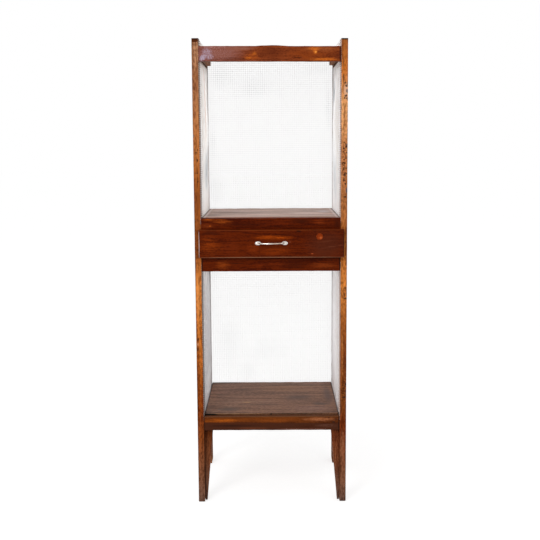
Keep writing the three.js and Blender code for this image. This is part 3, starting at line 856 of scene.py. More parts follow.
# Painted shade between the wires, and the pale of the wires, on the front posts' inner faces
WIRE_SHADING_ON_POSTS = {
    "left": [
        ("side_cloth_upper_left", colour(142, 112, 96), colour(232, 222, 214)),
        ("side_cloth_lower_left", colour(80, 60, 54), colour(236, 232, 230)),
    ],
    "right": [
        ("side_cloth_upper_right", colour(196, 158, 142), colour(232, 218, 212)),
        ("side_cloth_lower_right", colour(210, 178, 160), colour(240, 226, 218)),
    ],
}
# The tapers darken towards their tops; on the left this is painted shade under the bottom shelf
LEG_LEVELS = {
    "left": [
        (0, colour(96, 62, 48)), (60, colour(124, 80, 60)), (130, colour(124, 70, 42)),
        (215, colour(92, 42, 14)),
    ],
    "right": [
        (0, colour(100, 70, 58)), (60, colour(122, 80, 60)), (130, colour(134, 76, 46)),
        (215, colour(122, 60, 30)),
    ],
}
# Painted shade on the left post's inner face, in the corner beside the leg taper
LEFT_MARKS.append(POSTS.spot(
    -post_inner / MM, 130, 1.8, 140, DARK_SCAR_AND_SHADE, ragged=0.1, core=0.8, behind=11, thick=13,
))
for place, levels, marks, shift in (
    ("left", POST_LEVELS_LEFT, LEFT_MARKS, (0.1, 0.02, 0.3)),
    ("right", POST_LEVELS_RIGHT, RIGHT_MARKS, (0.7, 0.4, 0.1)),
):
    board(f"front_post_{place}", OLD_OIL, 1.8, 0.8, 14, levels, marks, shift, WIRE_SHADING_ON_POSTS[place])
    rear_shift = (shift[0] + 1.3, shift[1], shift[2])
    board(
        f"rear_post_{place}", OLD_OIL, 1.8, 0.8, 18, REAR_POST_LEVELS, REAR_MARKS[place], rear_shift,
    )
    for step, rail in enumerate(("side_top_rail", "side_drawer_board", "side_bottom_rail")):
        rail_shift = (0.35 * step, shift[1] + 0.2 * step, shift[2])
        board(f"{rail}_{place}", SIDE_OIL, 1.4, 0.5, 18, shift=rail_shift)
    board(f"leg_taper_{place}", LEG_VARNISH, 1.2, 0.4, 16, LEG_LEVELS[place], shift=shift)

# Front rails

LAVENDER_BLOOM = colour(188, 172, 192)
MAUVE_BLOOM = colour(146, 104, 104)
ORANGE_GLOW = colour(176, 82, 24)
BRIGHT_GLOW = colour(222, 116, 34)
DEEP_SHADE = colour(48, 14, 4)
PALE_BLOOM = colour(178, 128, 122)
TOP_RAIL_MARKS = [
    RAILS.glow(-140, 1375, 96, 40, colour(134, 80, 66), 0.95, streaky=0.5),
    RAILS.spot(
        -190, 1374, 32, 34, MAUVE_BLOOM, 0.6, ragged=1.6, lump=6, core=0.2, broken=0.3, along=0.8,
    ),
    RAILS.spot(
        -150, 1377, 76, 30, PALE_BLOOM, 0.5, ragged=1.4, lump=3.4, core=0.3, broken=1, along=0.6,
    ),
    RAILS.spot(-166, 1393, 46, 4, PALE_BLOOM, 0.9, ragged=1.2, lump=4, core=0.4, broken=1, along=0.6),
    RAILS.spot(
        -185, 1379, 17, 15, LAVENDER_BLOOM, 0.85, ragged=1.6, lump=3.4, core=0.4, broken=1, along=1,
    ),
    RAILS.spot(
        -198, 1364, 9, 13, LAVENDER_BLOOM, 1, ragged=1.4, lump=4, core=0.5, broken=0.6, tilt=40,
        along=1,
    ),
    RAILS.spot(
        -178, 1367, 15, 10, LAVENDER_BLOOM, 0.75, ragged=1.6, lump=3.4, core=0.4, broken=1, along=1,
    ),
    RAILS.glow(-54, 1366, 34, 15, ORANGE_GLOW, 0.75),
    RAILS.glow(-45, 1375, 9, 7, BRIGHT_GLOW, 0.6, lump=4, streaky=0.6),
    RAILS.glow(-64, 1362, 14, 4, BRIGHT_GLOW, 0.6, lump=4, streaky=0.6),
    RAILS.glow(4, 1377, 60, 24, colour(86, 30, 10), 0.6),
    RAILS.glow(124, 1374, 110, 32, colour(140, 60, 14), 0.85),
    RAILS.glow(-84, 1390, 60, 9, colour(150, 96, 78), 0.8, streaky=0.5),
    RAILS.glow(150, 1386, 70, 13, colour(170, 92, 48), 0.7, lump=7),
    RAILS.glow(160, 1357, 60, 7, BRIGHT_GLOW, 0.8, lump=6),
    RAILS.glow(-110, 1353, 110, 4, colour(164, 100, 84), 0.6, lump=6),
    RAILS.spot(82, 1363, 20, 2.4, DEEP_SHADE, 0.75, ragged=1, core=0.2),
    RAILS.glow(132, 1388, 26, 9, BRIGHT_GLOW, 0.8, lump=4, streaky=0.7),
    RAILS.glow(134, 1380, 9, 11, BRIGHT_GLOW, 0.8, lump=4, streaky=0.4),
    RAILS.spot(134.5, 1378.6, 4.4, 4, colour(250, 160, 70), 0.95, ragged=0.6, core=0.2),
    RAILS.spot(208, 1374, 5, 40, colour(62, 26, 18), 0.8, ragged=0.5),
]
UPPER_RAIL_MARKS = [
    RAILS.glow(-188, 886, 24, 6, ORANGE_GLOW, 0.85, lump=6),
    RAILS.glow(-190, 866, 26, 12, colour(136, 58, 20), 0.7, lump=6),
    RAILS.glow(-146, 881, 42, 9, ORANGE_GLOW, 0.85, lump=6),
    RAILS.glow(-84, 872, 80, 9, DEEP_SHADE, 0.6),
    RAILS.glow(90, 882, 44, 12, DEEP_SHADE, 0.8),
    RAILS.glow(20, 876, 60, 12, colour(128, 44, 10), 0.5),
    RAILS.glow(146, 877, 26, 10, colour(140, 56, 18), 0.7),
    RAILS.spot(-183, 867, 4, 3, ORANGE_GLOW, 0.8),
    RAILS.glow(200, 872, 16, 30, DEEP_SHADE, 0.75),
]
LOWER_RAIL_MARKS = [
    RAILS.glow(-145, 749, 30, 20, colour(150, 66, 18), 0.7, lump=7),
    RAILS.spot(-106, 754, 34, 3.4, DEEP_SHADE, 0.7, ragged=0.8, core=0.2),
    RAILS.glow(-10, 750, 80, 9, colour(130, 48, 12), 0.6),
    RAILS.glow(72, 750, 62, 22, DEEP_SHADE, 0.6),
    RAILS.glow(158, 746, 60, 13, colour(138, 60, 20), 0.6, lump=7),
    # Painted shadow under the drawer front's overhang
    RAILS.spot(0, 776, 400, 8, colour(22, 8, 4), 0.85, ragged=0.2, core=0.3, thick=20),
    # Painted shade in the joints with the posts
    RAILS.spot(-209, 754, 3.4, 40, colour(36, 14, 8), 0.9, ragged=0.4, thick=20),
    RAILS.spot(209, 754, 3.4, 40, colour(36, 14, 8), 0.9, ragged=0.4, thick=20),
]
BOTTOM_RAIL_MARKS = [
    RAILS.glow(-20, 266, 330, 18, colour(130, 64, 20), 0.75, streaky=0.5),
    RAILS.glow(-156, 262, 84, 9, colour(196, 98, 24), 0.8, lump=7, streaky=0.6),
    RAILS.glow(20, 262, 80, 6, colour(150, 76, 26), 0.6, streaky=0.7),
    RAILS.spot(150, 266, 66, 9, colour(190, 118, 76), 0.7, ragged=1, lump=5, core=0.2, broken=0.5),
    RAILS.spot(0, 275, 900, 2.6, colour(112, 70, 42), 0.75, ragged=0.8, core=0.3, thick=20),
    RAILS.spot(
        0, 216, 1500, 41, colour(72, 38, 25), 0.95, ragged=0.16, lump=14, tilt=0.6, core=0.94,
        streaky=0.5, thick=12,
    ),
    RAILS.glow(-120, 246, 110, 6, colour(42, 20, 14), 0.7, streaky=0.4),
    RAILS.glow(-60, 238, 70, 4, colour(124, 66, 40), 0.6, lump=6),
    RAILS.glow(96, 234, 120, 5, colour(148, 100, 84), 0.7, lump=6, streaky=0.6),
    RAILS.glow(170, 245, 44, 7, colour(112, 74, 60), 0.6, lump=6),
    RAILS.spot(191, 257, 5, 3, DARK_SCAR_AND_SHADE, 0.9, ragged=0.8),
    RAILS.spot(176, 270, 4, 2.4, DARK_SCAR_AND_SHADE, 0.7, ragged=0.8),
    RAILS.spot(199, 266, 3, 3, DARK_SCAR_AND_SHADE, 0.8, ragged=0.8),
    # Painted shade in the joints with the posts
    RAILS.spot(208, 252, 3, 34, colour(36, 20, 14), 0.85, ragged=0.5, thick=20),
    RAILS.spot(-209, 252, 2.4, 34, colour(36, 20, 14), 0.7, ragged=0.5, thick=20),
]
for place, finish, rounding, worn, step, marks, shift in (
    ("top", TOP_VARNISH, 1.6, 0.5, 12, TOP_RAIL_MARKS, (0.2, 0.1, 0.9)),
    ("upper", RED_VARNISH, 1.6, 0.5, 14, UPPER_RAIL_MARKS, (0.5, 0.3, 0.2)),
    ("lower", RED_VARNISH, 1.6, 0.5, 14, LOWER_RAIL_MARKS, (0.9, 0.6, 0.4)),
    ("bottom", FOOT_VARNISH, 2, 0.7, 14, BOTTOM_RAIL_MARKS, (1.2, 0.2, 0.7)),
):
    board(f"{place}_front_rail", finish, rounding, worn, step, spots=marks, shift=shift)

# Hidden rails, strips and the top board
for step, place in enumerate(("top", "upper", "lower", "bottom")):
    rail_shift = (0.4 * step, 0.3, 0.2 * step)
    board(f"{place}_rear_rail", BARE_WOOD, 1.2, 0.4, 24, shift=rail_shift)
for step, strip in enumerate(("bottom_bearer", "drawer_runner", "drawer_kicker", "top_cleat")):
    for place, turn in (("left", 0.0), ("right", 0.8)):
        finish = CLEAT_WOOD if strip == "top_cleat" else BARE_WOOD
        board(f"{strip}_{place}", finish, 1, 0.3, 24, shift=(turn, 0.5 * step, turn))
board("top_board", BARE_WOOD, 1, 0.3, 24, shift=(0.1, 0.9, 0.5))

# Shelves

UPPER = Face(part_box("upper_shelf")[1].z, 9, lying=True)
BOTTOM = Face(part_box("bottom_shelf")[1].z, 9, lying=True)
SHELF_DARK = colour(62, 46, 42)
UPPER_SHELF_MARKS = [
    UPPER.glow(-140, 226, 84, 40, colour(104, 70, 58), 1, lump=20, streaky=0.3),
    UPPER.glow(-180, 100, 40, 60, colour(122, 98, 92), 0.8, lump=20, streaky=0.5),
    UPPER.glow(-20, 240, 110, 40, colour(138, 106, 94), 0.6, lump=30),
    UPPER.glow(130, 260, 70, 40, colour(142, 116, 106), 0.6, lump=30),
    UPPER.glow(-20, 140, 90, 34, colour(224, 196, 184), 0.9, lump=30, streaky=0.6),
    UPPER.glow(60, 330, 120, 50, colour(214, 184, 172), 0.7, lump=30, streaky=0.6),
    UPPER.glow(110, 170, 90, 60, colour(226, 204, 194), 0.8, lump=30, streaky=0.6),
    UPPER.glow(172, 250, 30, 60, colour(206, 190, 194), 0.9, lump=20, streaky=0.4),
    UPPER.glow(166, 90, 46, 34, colour(120, 92, 84), 0.7, lump=20),
    UPPER.spot(40, 64, 300, 30, colour(228, 198, 184), 0.85, core=0.2, thick=6),
    UPPER.spot(0, 20, 500, 20, colour(158, 92, 60), 0.85, core=0.5, thick=8),
    UPPER.spot(0, 398, 400, 14, colour(112, 84, 76), 0.35, core=0.3, thick=6),
]
BOTTOM_SHELF_MARKS = [
    BOTTOM.glow(46, 314, 140, 60, colour(150, 104, 72), 0.8, lump=24),
    BOTTOM.glow(-165, 280, 70, 70, colour(142, 96, 76), 0.6, lump=24),
    BOTTOM.glow(87, 202, 66, 48, colour(82, 62, 54), 0.8, lump=20, streaky=0.4),
    BOTTOM.glow(156, 126, 38, 26, colour(70, 56, 50), 0.8, lump=20, streaky=0.4),
    BOTTOM.glow(186, 231, 22, 150, colour(84, 66, 62), 0.8, lump=20, streaky=0.4),
    BOTTOM.glow(-65, 150, 150, 16, colour(150, 112, 90), 0.7, lump=14),
    BOTTOM.glow(-81, 144, 22, 10, colour(186, 138, 92), 0.9, lump=12, streaky=0.4),
    BOTTOM.glow(-150, 100, 60, 8, colour(160, 120, 98), 0.7, lump=10),
    BOTTOM.spot(-35, 120, 90, 8, colour(70, 50, 42), 0.5, core=0.2),
    BOTTOM.glow(-137, 64, 60, 36, colour(78, 62, 56), 0.85, lump=20, streaky=0.4),
    BOTTOM.glow(128, 64, 100, 50, colour(152, 112, 98), 0.8, lump=24),
    BOTTOM.spot(-160, 398, 80, 18, SHELF_DARK, 0.8, core=0.3),
    # The dark marks along the front edge are painted shade above the rail, darkest at the left corner
    BOTTOM.spot(
        0, 18, 900, 4, colour(84, 50, 28), 0.8, ragged=0.9, lump=5, core=0.6, broken=0.4, behind=3.4,
        thick=3.6,
    ),
    BOTTOM.spot(-120, 18.6, 110, 3, colour(168, 126, 92), 0.8, ragged=0.5, behind=0.6, thick=1.6),
    BOTTOM.spot(-192, 17, 36, 5, colour(12, 7, 5), 1, ragged=0.5, core=0.5, behind=3.4, thick=4.4),
    BOTTOM.spot(90, 17, 130, 5, colour(40, 24, 16), 0.85, ragged=0.6, core=0.3, behind=2.4, thick=2.4),
    BOTTOM.spot(-2, 17, 4, 7, colour(14, 8, 6), 1, behind=2.4, thick=3),
]
for side in (-1, 1):
    # The dark ends are painted shade in the gaps between the shelves and the cloth
    dark_end = (side * 208, 220, 3.4, 500, SHELF_DARK, 0.9)
    pale_end = (side * 200, 220, 5, 500, colour(216, 204, 200), 0.6)
    UPPER_SHELF_MARKS.append(UPPER.spot(*dark_end, core=0.6, thick=8))
    UPPER_SHELF_MARKS.append(UPPER.spot(*pale_end, core=0.3, thick=8))
    BOTTOM_SHELF_MARKS.append(BOTTOM.spot(*dark_end, core=0.6, thick=8))
board("upper_shelf", GREY_SHEEN_VARNISH, 1.6, 0.6, 22, spots=UPPER_SHELF_MARKS, shift=(0.6, 0.2, 0.4))
board("bottom_shelf", DULL_VARNISH, 2, 0.9, 18, spots=BOTTOM_SHELF_MARKS, shift=(1.6, 0.7, 0.1))

# Drawer
DRAWER_MARKS = [
    DRAWER.glow(-182, 808, 44, 44, colour(140, 56, 10), 0.8, lump=14),
    DRAWER.glow(-122, 806, 46, 36, colour(112, 40, 8), 0.7, lump=14),
    DRAWER.glow(-178, 847, 48, 8, DEEP_SHADE, 0.7),
    DRAWER.glow(8, 834, 72, 9, colour(186, 78, 10), 0.95, lump=8),
    DRAWER.glow(12, 793, 62, 18, colour(150, 58, 8), 0.5, lump=10),
    DRAWER.glow(-55, 801, 30, 26, colour(130, 48, 8), 0.6),
    DRAWER.glow(168, 812, 84, 70, colour(82, 36, 20), 0.8, lump=20, streaky=0.3),
    DRAWER.glow(185, 806, 60, 3, colour(118, 64, 44), 0.4, lump=6, tilt=-8),
    DRAWER.glow(170, 822, 50, 2.4, colour(110, 58, 38), 0.35, lump=6, tilt=-8),
    DRAWER.spot(84, 853, 9, 2.6, colour(24, 8, 4), 0.9),
    DRAWER.spot(-35, 812, 1.2, 36, DEEP_SHADE, 0.6, ragged=0.8),
    DRAWER.spot(124, 784.6, 4.4, 2.2, colour(176, 78, 38), 0.75, ragged=0.8),
    DRAWER.spot(57.4, 820, 3.4, 2, colour(150, 86, 60), 0.6, ragged=0.8, core=0.2),
    DRAWER.spot(0, 856, 500, 2.4, colour(126, 60, 24), 0.5, ragged=0.8, core=0.2),
    # Painted light on the rounded edges: highlights along the bottom and the left edge, shade along the
    # right edge
    DRAWER.spot(
        0, 773.6, 300, 2.6, colour(160, 116, 88), 0.7, ragged=0.7, lump=12, behind=2.3, thick=8,
    ),
    DRAWER.spot(
        -216, 812, 2.6, 50, colour(214, 184, 176), 0.8, ragged=0.6, lump=8, behind=2.3, thick=8,
    ),
    DRAWER.spot(219, 812, 2.4, 60, colour(40, 16, 10), 0.7, ragged=0.5, behind=2.3, thick=8),
]
board(
    "drawer_front", RED_VARNISH, 0.4, 0, 400,
    spots=DRAWER_MARKS, shift=(0.3, 0.8, 0.6), body="drawer",
)
for step, plank in enumerate(("drawer_side_left", "drawer_side_right", "drawer_back", "drawer_bottom")):
    plank_shift = (0.3 * step, 0.2, 0.7 * step)
    board(plank, BARE_WOOD, 0.8, 0.3, 24, shift=plank_shift, body="drawer")
plug_low, plug_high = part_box("drawer_front_plug")
PLUG = Face(plug_low.y, 8)
plug_x, _, plug_z = (plug_low + plug_high) / 2 / MM
PLUG_MARKS = [
    # Lighter at the lower right as a painted highlight, darker at the upper left
    PLUG.glow(plug_x + 3.4, plug_z - 3.4, 8, 6, colour(190, 92, 44), 0.8, lump=5, streaky=0.3),
    PLUG.glow(plug_x - 6, plug_z + 6, 7, 5, colour(104, 34, 6), 0.7, lump=5, streaky=0.3),
]
board("drawer_front_plug", PLUG_WOOD, 0.3, 0, 100, spots=PLUG_MARKS, body="drawer")


# Handle and screws

handle_low, handle_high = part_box("drawer_handle")
HANDLE_RISE = 2 * MM  # above the middle of the drawer's front
PAD_CLEARANCE = 0.7 * MM  # the pads end so far inside the ends of the frame's handle
handle_middle = Vector(((handle_low.x + handle_high.x) / 2, drawer_face, drawer_level + HANDLE_RISE))
handle_half = (handle_high.x - handle_low.x) / 2 - PAD_CLEARANCE
PAD_LENGTH = 19.6 * MM
PAD_HEIGHT = 13.4 * MM
PAD_DOME = 5 * MM
BAR_RADIUS = 2.5 * MM
BAR_INSET = 12 * MM  # from the pads' outer ends to the bar's
BAR_LIFT = 0.7 * MM
BAR_SLOPE = 0.4 * MM  # the bar rises so much towards its right end
BAR_DRAWN_IN = 0.14  # share by which its bends are drawn in towards its middle
BAR_BLUNT = 0.62  # its front is flatter than a plain bow's, which has 1
BAR_END = 0.72  # its thickness at the pads, as a share of that in its middle
BAR_STEPS = 28
VOXEL = 0.45 * MM
METAL = bright_metal()


def pad(side):
    """A domed oval pad with a flat back."""
    shape = bmesh.new()
    bmesh.ops.create_uvsphere(shape, u_segments=40, v_segments=24, radius=1)
    cut_across(shape, (0, 0, 0), (0, 1, 0), clear_outer=True)
    bmesh.ops.contextual_create(shape, geom=open_edges(shape))
    bmesh.ops.scale(shape, vec=(PAD_LENGTH / 2, PAD_DOME, PAD_HEIGHT / 2), verts=shape.verts)
    centre = handle_middle + Vector((side * (handle_half - PAD_LENGTH / 2), 0, 0))
    bmesh.ops.translate(shape, vec=centre, verts=shape.verts)
    return shape


def bar():
    """The round bar that bows out between the pads."""
    shape = bmesh.new()
    reach = handle_middle.y - handle_low.y - BAR_RADIUS
    start = handle_half - BAR_INSET

    def ring_place(share):
        turn = math.pi * share
        across = -start * math.cos(turn) * (1 - BAR_DRAWN_IN + BAR_DRAWN_IN * abs(math.cos(turn)))
        out = reach * math.sin(turn) ** BAR_BLUNT
        return handle_middle + Vector((across, -out, BAR_LIFT - BAR_SLOPE * math.cos(turn)))

    ring = bmesh.ops.create_circle(shape, segments=20, radius=BAR_RADIUS)["verts"]
    edges = shape.edges[:]
    placed = Matrix.Identity(4)
    for index in range(BAR_STEPS + 1):
        share = index / BAR_STEPS
        here = ring_place(share)
        ahead = ring_place(min(1, share + 0.01)) - ring_place(max(0, share - 0.01))
        flare = BAR_END + (1 - BAR_END) * math.sin(math.pi * share)
        wanted = Matrix.Translation(here) @ ahead.to_track_quat("Z", "Y").to_matrix().to_4x4()
        wanted = wanted @ Matrix.Scale(flare, 4)
        if index:
            ring, edges = extruded(shape, edges)
        bmesh.ops.transform(shape, matrix=wanted @ placed.inverted(), verts=ring)
        placed = wanted
    bmesh.ops.holes_fill(shape, edges=open_edges(shape), sides=40)
    face_outwards(shape)
    return shape


def joined(*shapes):
    whole = bmesh.new()
    for shape in shapes:
        mesh = bpy.data.meshes.new("part")
        shape.to_mesh(mesh)
        shape.free()
        whole.from_mesh(mesh)
        bpy.data.meshes.remove(mesh)
    return whole


cast = finished_mesh(
    joined(pad(-1), pad(1), bar()),
    ("REMESH", {"mode": "VOXEL", "voxel_size": VOXEL}),
    ("SMOOTH", {"factor": 0.5, "iterations": 8}),
)
show("drawer_handle_cast", cast, METAL, "drawer", "handle_metal", "drawer_handle", even_faces=False)


def screw(node):
    """A round-head screw on the axis of the frame's screw."""
    low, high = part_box(node)
    centre = (low + high) / 2
    head_radius, head_height = 3.2 * MM, 1.7 * MM
    shank_radius, neck, tip = 1.8 * MM, 0.1 * MM, 3 * MM
    sunk = 0.3 * MM
    seat = handle_middle.y - PAD_DOME
    shape = bmesh.new()
    profile = [(0, -head_height)]
    for index in range(1, 8):
        turn = math.pi / 2 * index / 7
        profile.append((head_radius * math.sin(turn), -head_height * math.cos(turn)))
    profile += [(shank_radius, neck), (shank_radius, high.y - seat - tip), (0, high.y - seat)]
    points = [shape.verts.new((radius, down, 0)) for radius, down in profile]
    line = [shape.edges.new(pair) for pair in zip(points, points[1:])]
    bmesh.ops.spin(
        shape, geom=points + line, cent=(0, 0, 0), axis=(0, 1, 0), angle=2 * math.pi,
        steps=32, use_merge=True,
    )
    bmesh.ops.remove_doubles(shape, verts=shape.verts, dist=MERGE)
    face_outwards(shape)
    bmesh.ops.translate(shape, vec=(centre.x, seat + sunk, centre.z), verts=shape.verts)
    return show(f"{node}_turned", shape, METAL, "drawer", "handle_metal", node, even_faces=False)


for place in ("left", "right"):
    screw(f"handle_screw_{place}")


# Wire cloth

WIRE_RADIUS = 0.3 * MM
WIRE_WAVE = 0.18 * MM  # how far a wire rises and dips from one crossing to the next
WELD = 0.02 * MM
# Smoky is painted shade, pinkish a painted reflection of the wood
SMOKY_SHADE = colour(166, 174, 180)
PINKISH = colour(214, 176, 160)
PATCH_GREY = colour(136, 136, 138)
# Patches of the cloths: place in metres, reach in millimetres, strength and shade
# High on the back, near its top, the grey patches are painted shade; lower down they grey the wire in
# places
BACK_GREY_PATCHES = [
    ((-0.165, rear_face, 1.335), (54, 30, 66), 0.6, PATCH_GREY),
    ((-0.062, rear_face, 1.306), (96, 30, 54), 0.55, PATCH_GREY),
    ((0.158, rear_face, 1.362), (66, 30, 32), 0.6, PATCH_GREY),
    ((0.197, rear_face, 1.24), (15, 30, 120), 0.6, PATCH_GREY),
    ((-0.187, rear_face, 0.962), (38, 30, 70), 0.6, PATCH_GREY),
    ((-0.194, rear_face, 1.112), (18, 30, 70), 0.45, PATCH_GREY),
    ((-0.196, rear_face, 0.668), (32, 30, 40), 0.6, PATCH_GREY),
    ((-0.15, rear_face, 0.43), (56, 30, 140), 0.6, PATCH_GREY),
    ((-0.02, rear_face, 0.395), (100, 30, 70), 0.45, PATCH_GREY),
    ((-0.087, rear_face, 0.318), (44, 30, 44), 0.6, PATCH_GREY),
]
# On the sides, the white patches are painted light, the pinkish one a painted reflection of the wood, and
# the smoky ones and the dark strip along the left rear post painted shade
SIDE_LIGHT_AND_SHADE = {
    "upper_left": [
        ((-0.205, 0.02, 1.03), (40, 130, 100), 0.8, SMOKY_SHADE),
        ((-0.205, -0.03, 1.25), (40, 22, 160), 0.8, PINKISH),
    ],
    "upper_right": [
        ((0.205, -0.03, 1.12), (40, 130, 160), 1.0, colour(255, 255, 255)),
        ((0.205, 0.05, 1.268), (40, 120, 60), 0.8, SMOKY_SHADE),
        ((0.205, 0.0, 1.01), (40, 130, 110), 0.45, SMOKY_SHADE),
    ],
    "lower_left": [
        ((-0.209, rear_post_front - 6 * MM, 0.70), (40, 22, 150), 1.0, colour(70, 64, 64)),
        ((-0.209, -0.07, 0.70), (40, 26, 90), 0.9, colour(255, 254, 252)),
        ((-0.209, 0.0, 0.70), (40, 20, 80), 0.8, colour(255, 252, 248)),
        ((-0.209, 0.04, 0.32), (40, 170, 90), 0.7, colour(255, 254, 254)),
    ],
}
SIDE_TINTS = {  # bright and dull shade of the wire, and of the varnish on it
    "upper_left": (colour(255, 255, 254), colour(254, 251, 248), colour(154, 130, 118)),
    "upper_right": (colour(255, 255, 255), colour(254, 253, 254), colour(204, 178, 166)),
    # The lower left sheet's darker wire is painted shade
    "lower_left": (colour(226, 224, 224), colour(202, 198, 200), colour(84, 66, 62)),
    "lower_right": (colour(255, 253, 253), colour(242, 238, 238), colour(208, 180, 166)),
}
SIDE_BULGE = {"upper_left": 9, "upper_right": 9, "lower_left": 2.5, "lower_right": 5}  # mm, inwards
SIDE_DENTS = (120 * MM, 160 * MM)  # size of the dents across and up
BACK_DENTS = (150 * MM, 200 * MM)
BACK_BULGE = 2 * MM
BACK_DENT_DEPTH = 3.5 * MM


def woven_cell(pitch_u, pitch_v):
    """Two wires each way, over and under, lying flat: U along X, V along Y, height along Z."""
    shape = bmesh.new()
    for axis, pitch, other in ((X, pitch_u, pitch_v), (Y, pitch_v, pitch_u)):
        for row in (0, 1):
            lift = WIRE_WAVE if (row + axis) % 2 == 0 else -WIRE_WAVE
            tilt = Matrix.Rotation(math.pi / 2, 4, "Y" if axis == X else "X")
            offset = Vector((0, 0, lift))
            offset[Y - axis] = row * other
            made = bmesh.ops.create_circle(
                shape, segments=4, radius=WIRE_RADIUS, matrix=Matrix.Translation(offset) @ tilt
            )["verts"]
            edges = list({edge for point in made for edge in point.link_edges})
            for step in (1, 2):
                ring, edges = extruded(shape, edges)
                move = Vector((0, 0, -2 * lift if step == 1 else 2 * lift))
                move[axis] = pitch
                bmesh.ops.translate(shape, vec=move, verts=ring)
    return shape


def woven_cloth(width, height):
    """A flat cloth from the origin along X and Y, with cut wire ends at its far sides."""
    pitch_u, pitch_v = pitch_between_rows(width), pitch_between_rows(height)
    count_u, count_v = round(width / pitch_u / 2), round(height / pitch_v / 2)
    rows = {
        "use_relative_offset": False, "use_constant_offset": True, "use_merge_vertices": True,
        "merge_threshold": WELD,
    }
    shape = finished_mesh(
        woven_cell(pitch_u, pitch_v),
        ("ARRAY", {**rows, "count": count_u, "constant_offset_displace": (2 * pitch_u, 0, 0)}),
        ("ARRAY", {**rows, "count": count_v, "constant_offset_displace": (0, 2 * pitch_v, 0)}),
    )
    bmesh.ops.holes_fill(shape, edges=open_edges(shape), sides=4)
    face_outwards(shape)
    return shape


def bow(share):
    """Nothing at zero and at one, and one half way."""
    return math.sin(math.pi * share) if 0 < share < 1 else 0.0


def side_cloth(node, side, tints, patches, bulge, field):
    """Wire cloth inside a side's frame. Its open field bulges towards the middle of the safe."""
    low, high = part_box(node)
    shape = woven_cloth(high.y - low.y, high.z - low.z)
    middle = (low.x + high.x) / 2
    placed = Matrix(((0, 0, 1, middle), (-1, 0, 0, high.y), (0, 1, 0, low.z), (0, 0, 0, 1)))
    bmesh.ops.transform(shape, matrix=placed, verts=shape.verts)
    bright, dull, stain = tints
    rows = (low.z, pitch_between_rows(high.z - low.z))
    wire = wire_material(f"{node} wire", bright, dull, rows, patches, stain, field)
    for point in shape.verts:
        back = (point.co.y - front_post_back) / (rear_post_front - front_post_back)
        up = (point.co.z - field[0]) / (field[1] - field[0])
        if not (0 < back < 1 and 0 < up < 1):
            continue
        ripple = noise.noise(Vector((side, point.co.y / SIDE_DENTS[0], point.co.z / SIDE_DENTS[1])))
        # The bulge is deepest a little in front of its middle and a little above it
        reach = bow(back ** 0.8) * bow(up ** 1.15) ** 0.6 * (1 + 0.5 * ripple)
        point.co.x -= side * bulge * MM * reach
    face_outwards(shape)
    return show(f"{node}_wires", shape, wire, "carcass", "wire_cloth", node, even_faces=False, sharp=180)


def back_cloth(node):
    low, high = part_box(node)
    shape = woven_cloth(high.x - low.x, high.z - low.z)
    middle = (low.y + high.y) / 2
    placed = Matrix(((1, 0, 0, low.x), (0, 0, 1, middle), (0, 1, 0, low.z), (0, 0, 0, 1)))
    bmesh.ops.transform(shape, matrix=placed, verts=shape.verts)
    for point in shape.verts:
        field = bow((point.co.x / post_inner + 1) / 2)
        ripple = noise.noise(Vector((3.0, point.co.x / BACK_DENTS[0], point.co.z / BACK_DENTS[1])))
        point.co.y -= field * max(0.0, BACK_BULGE + BACK_DENT_DEPTH * ripple)
    face_outwards(shape)
    rows = (low.z, pitch_between_rows(high.z - low.z))
    wire = wire_material(f"{node} wire", colour(255, 255, 254), colour(240, 239, 239), rows, BACK_GREY_PATCHES)
    return show(f"{node}_wires", shape, wire, "carcass", "wire_cloth", node, even_faces=False, sharp=180)


SIDE_FIELDS = {
    "upper": (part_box("upper_shelf")[1].z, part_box("side_top_rail_left")[0].z),
    "lower": (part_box("bottom_shelf")[1].z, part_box("side_drawer_board_left")[0].z),
}
for place, side in (("left", -1), ("right", 1)):
    for part, field in SIDE_FIELDS.items():
        sheet = f"{part}_{place}"
        side_cloth(
            f"side_cloth_{sheet}", side, SIDE_TINTS[sheet], SIDE_LIGHT_AND_SHADE.get(sheet, ()),
            SIDE_BULGE[sheet], field,
        )
back_cloth("back_cloth")


# Floor, light and camera

def seen_directly(tree):
    """One where a ray comes from the camera, a reflection or glass, and nothing for plain light."""
    rays = tree.add("LightPath").outputs
    either = tree.most(rays["Is Camera Ray"], rays["Is Glossy Ray"])
    return tree.most(either, rays["Is Transmission Ray"])


# Seen directly, the floor glows, and the lamps brighten it further where no shadow falls
FLOOR_PLAIN = grey(0.72)
FLOOR_GLOW = 0.75
FLOOR_LIT = grey(0.5)
FLOOR_HALF_SIZE = 30  # m


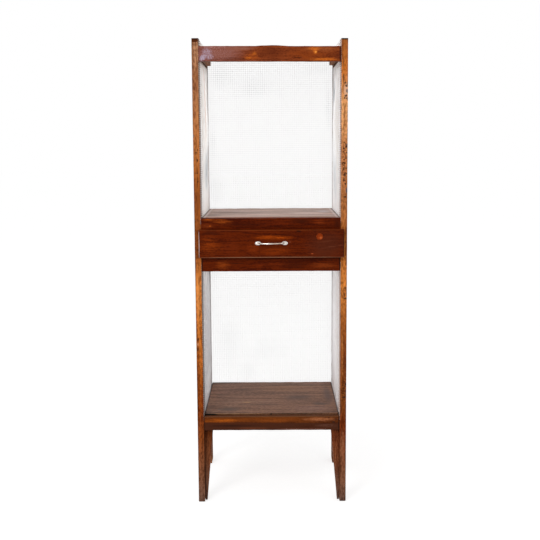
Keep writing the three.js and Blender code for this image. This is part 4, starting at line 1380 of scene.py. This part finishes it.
def make_floor():
    shape = bmesh.new()
    bmesh.ops.create_grid(shape, x_segments=1, y_segments=1, size=FLOOR_HALF_SIZE)
    mesh = bpy.data.meshes.new("floor")
    shape.to_mesh(mesh)
    shape.free()
    floor = bpy.data.objects.new("floor", mesh)
    bpy.context.scene.collection.objects.link(floor)
    material = bpy.data.materials.new("pale floor")
    material.use_nodes = True
    nodes = material.node_tree.nodes
    nodes.clear()
    tree = Tree(material.node_tree)
    plain = tree.add("BsdfDiffuse", {"Color": FLOOR_PLAIN}).outputs[0]
    glow = tree.add("Emission", {"Color": grey(1.0), "Strength": FLOOR_GLOW}).outputs[0]
    lit = tree.add("BsdfDiffuse", {"Color": FLOOR_LIT}).outputs[0]
    white = tree.add("AddShader", {0: glow, 1: lit}).outputs[0]
    mixed = tree.add("MixShader", {0: seen_directly(tree), 1: plain, 2: white}).outputs[0]
    tree.add("OutputMaterial", {"Surface": mixed})
    mesh.materials.append(material)


def make_world():
    world = bpy.data.worlds.new("studio")
    world.use_nodes = True
    world.node_tree.nodes.clear()
    tree = Tree(world.node_tree)
    soft = tree.add("Background", {"Color": grey(1.0), "Strength": 0.5}).outputs[0]
    white = tree.add("Background", {"Color": grey(1.0), "Strength": 1.0}).outputs[0]
    mixed = tree.add("MixShader", {0: seen_directly(tree), 1: soft, 2: white}).outputs[0]
    tree.add("OutputWorld", {"Surface": mixed})
    bpy.context.scene.world = world


def lamp(name, place, target, size, brightness):
    """A square soft lamp. A white surface that faces it at the target shines with its brightness."""
    data = bpy.data.lights.new(name, "AREA")
    data.size = size
    away = Vector(place) - Vector(target)
    data.energy = brightness * math.pi ** 2 * away.length_squared
    made = bpy.data.objects.new(name, data)
    made.location = place
    made.rotation_mode = "QUATERNION"
    made.rotation_quaternion = away.to_track_quat("Z", "Y")
    bpy.context.scene.collection.objects.link(made)


make_floor()
make_world()
lamp("key light", (-1.5, -3.0, 2.4), (0, 0, 0.8), 1.4, 0.38)
lamp("fill light", (1.7, -2.8, 1.5), (0, 0, 0.8), 1.8, 0.12)

# The camera stands in front of the safe at about chest height and looks slightly down
PICTURE_PIXELS = 540
FOCAL_PIXELS = 937.62
SENSOR = 36.0
camera = bpy.data.objects.new("camera", bpy.data.cameras.new("camera"))
camera.data.sensor_width = SENSOR
camera.data.lens = FOCAL_PIXELS / PICTURE_PIXELS * SENSOR
right = Vector((0.99998401, 0.00129462, -0.0055057))
up = Vector((0.00527948, 0.13551787, 0.99076084))
forward = Vector((-0.00202878, 0.99077406, -0.13550887))
eye = Vector((2.716 * MM, front_face - 2813.59 * MM, 1117.91 * MM))
camera.matrix_world = Matrix((right, up, -forward)).transposed().to_4x4()
camera.location = eye
bpy.context.scene.collection.objects.link(camera)
bpy.context.scene.camera = camera
bpy.context.scene.view_settings.view_transform = "Standard"
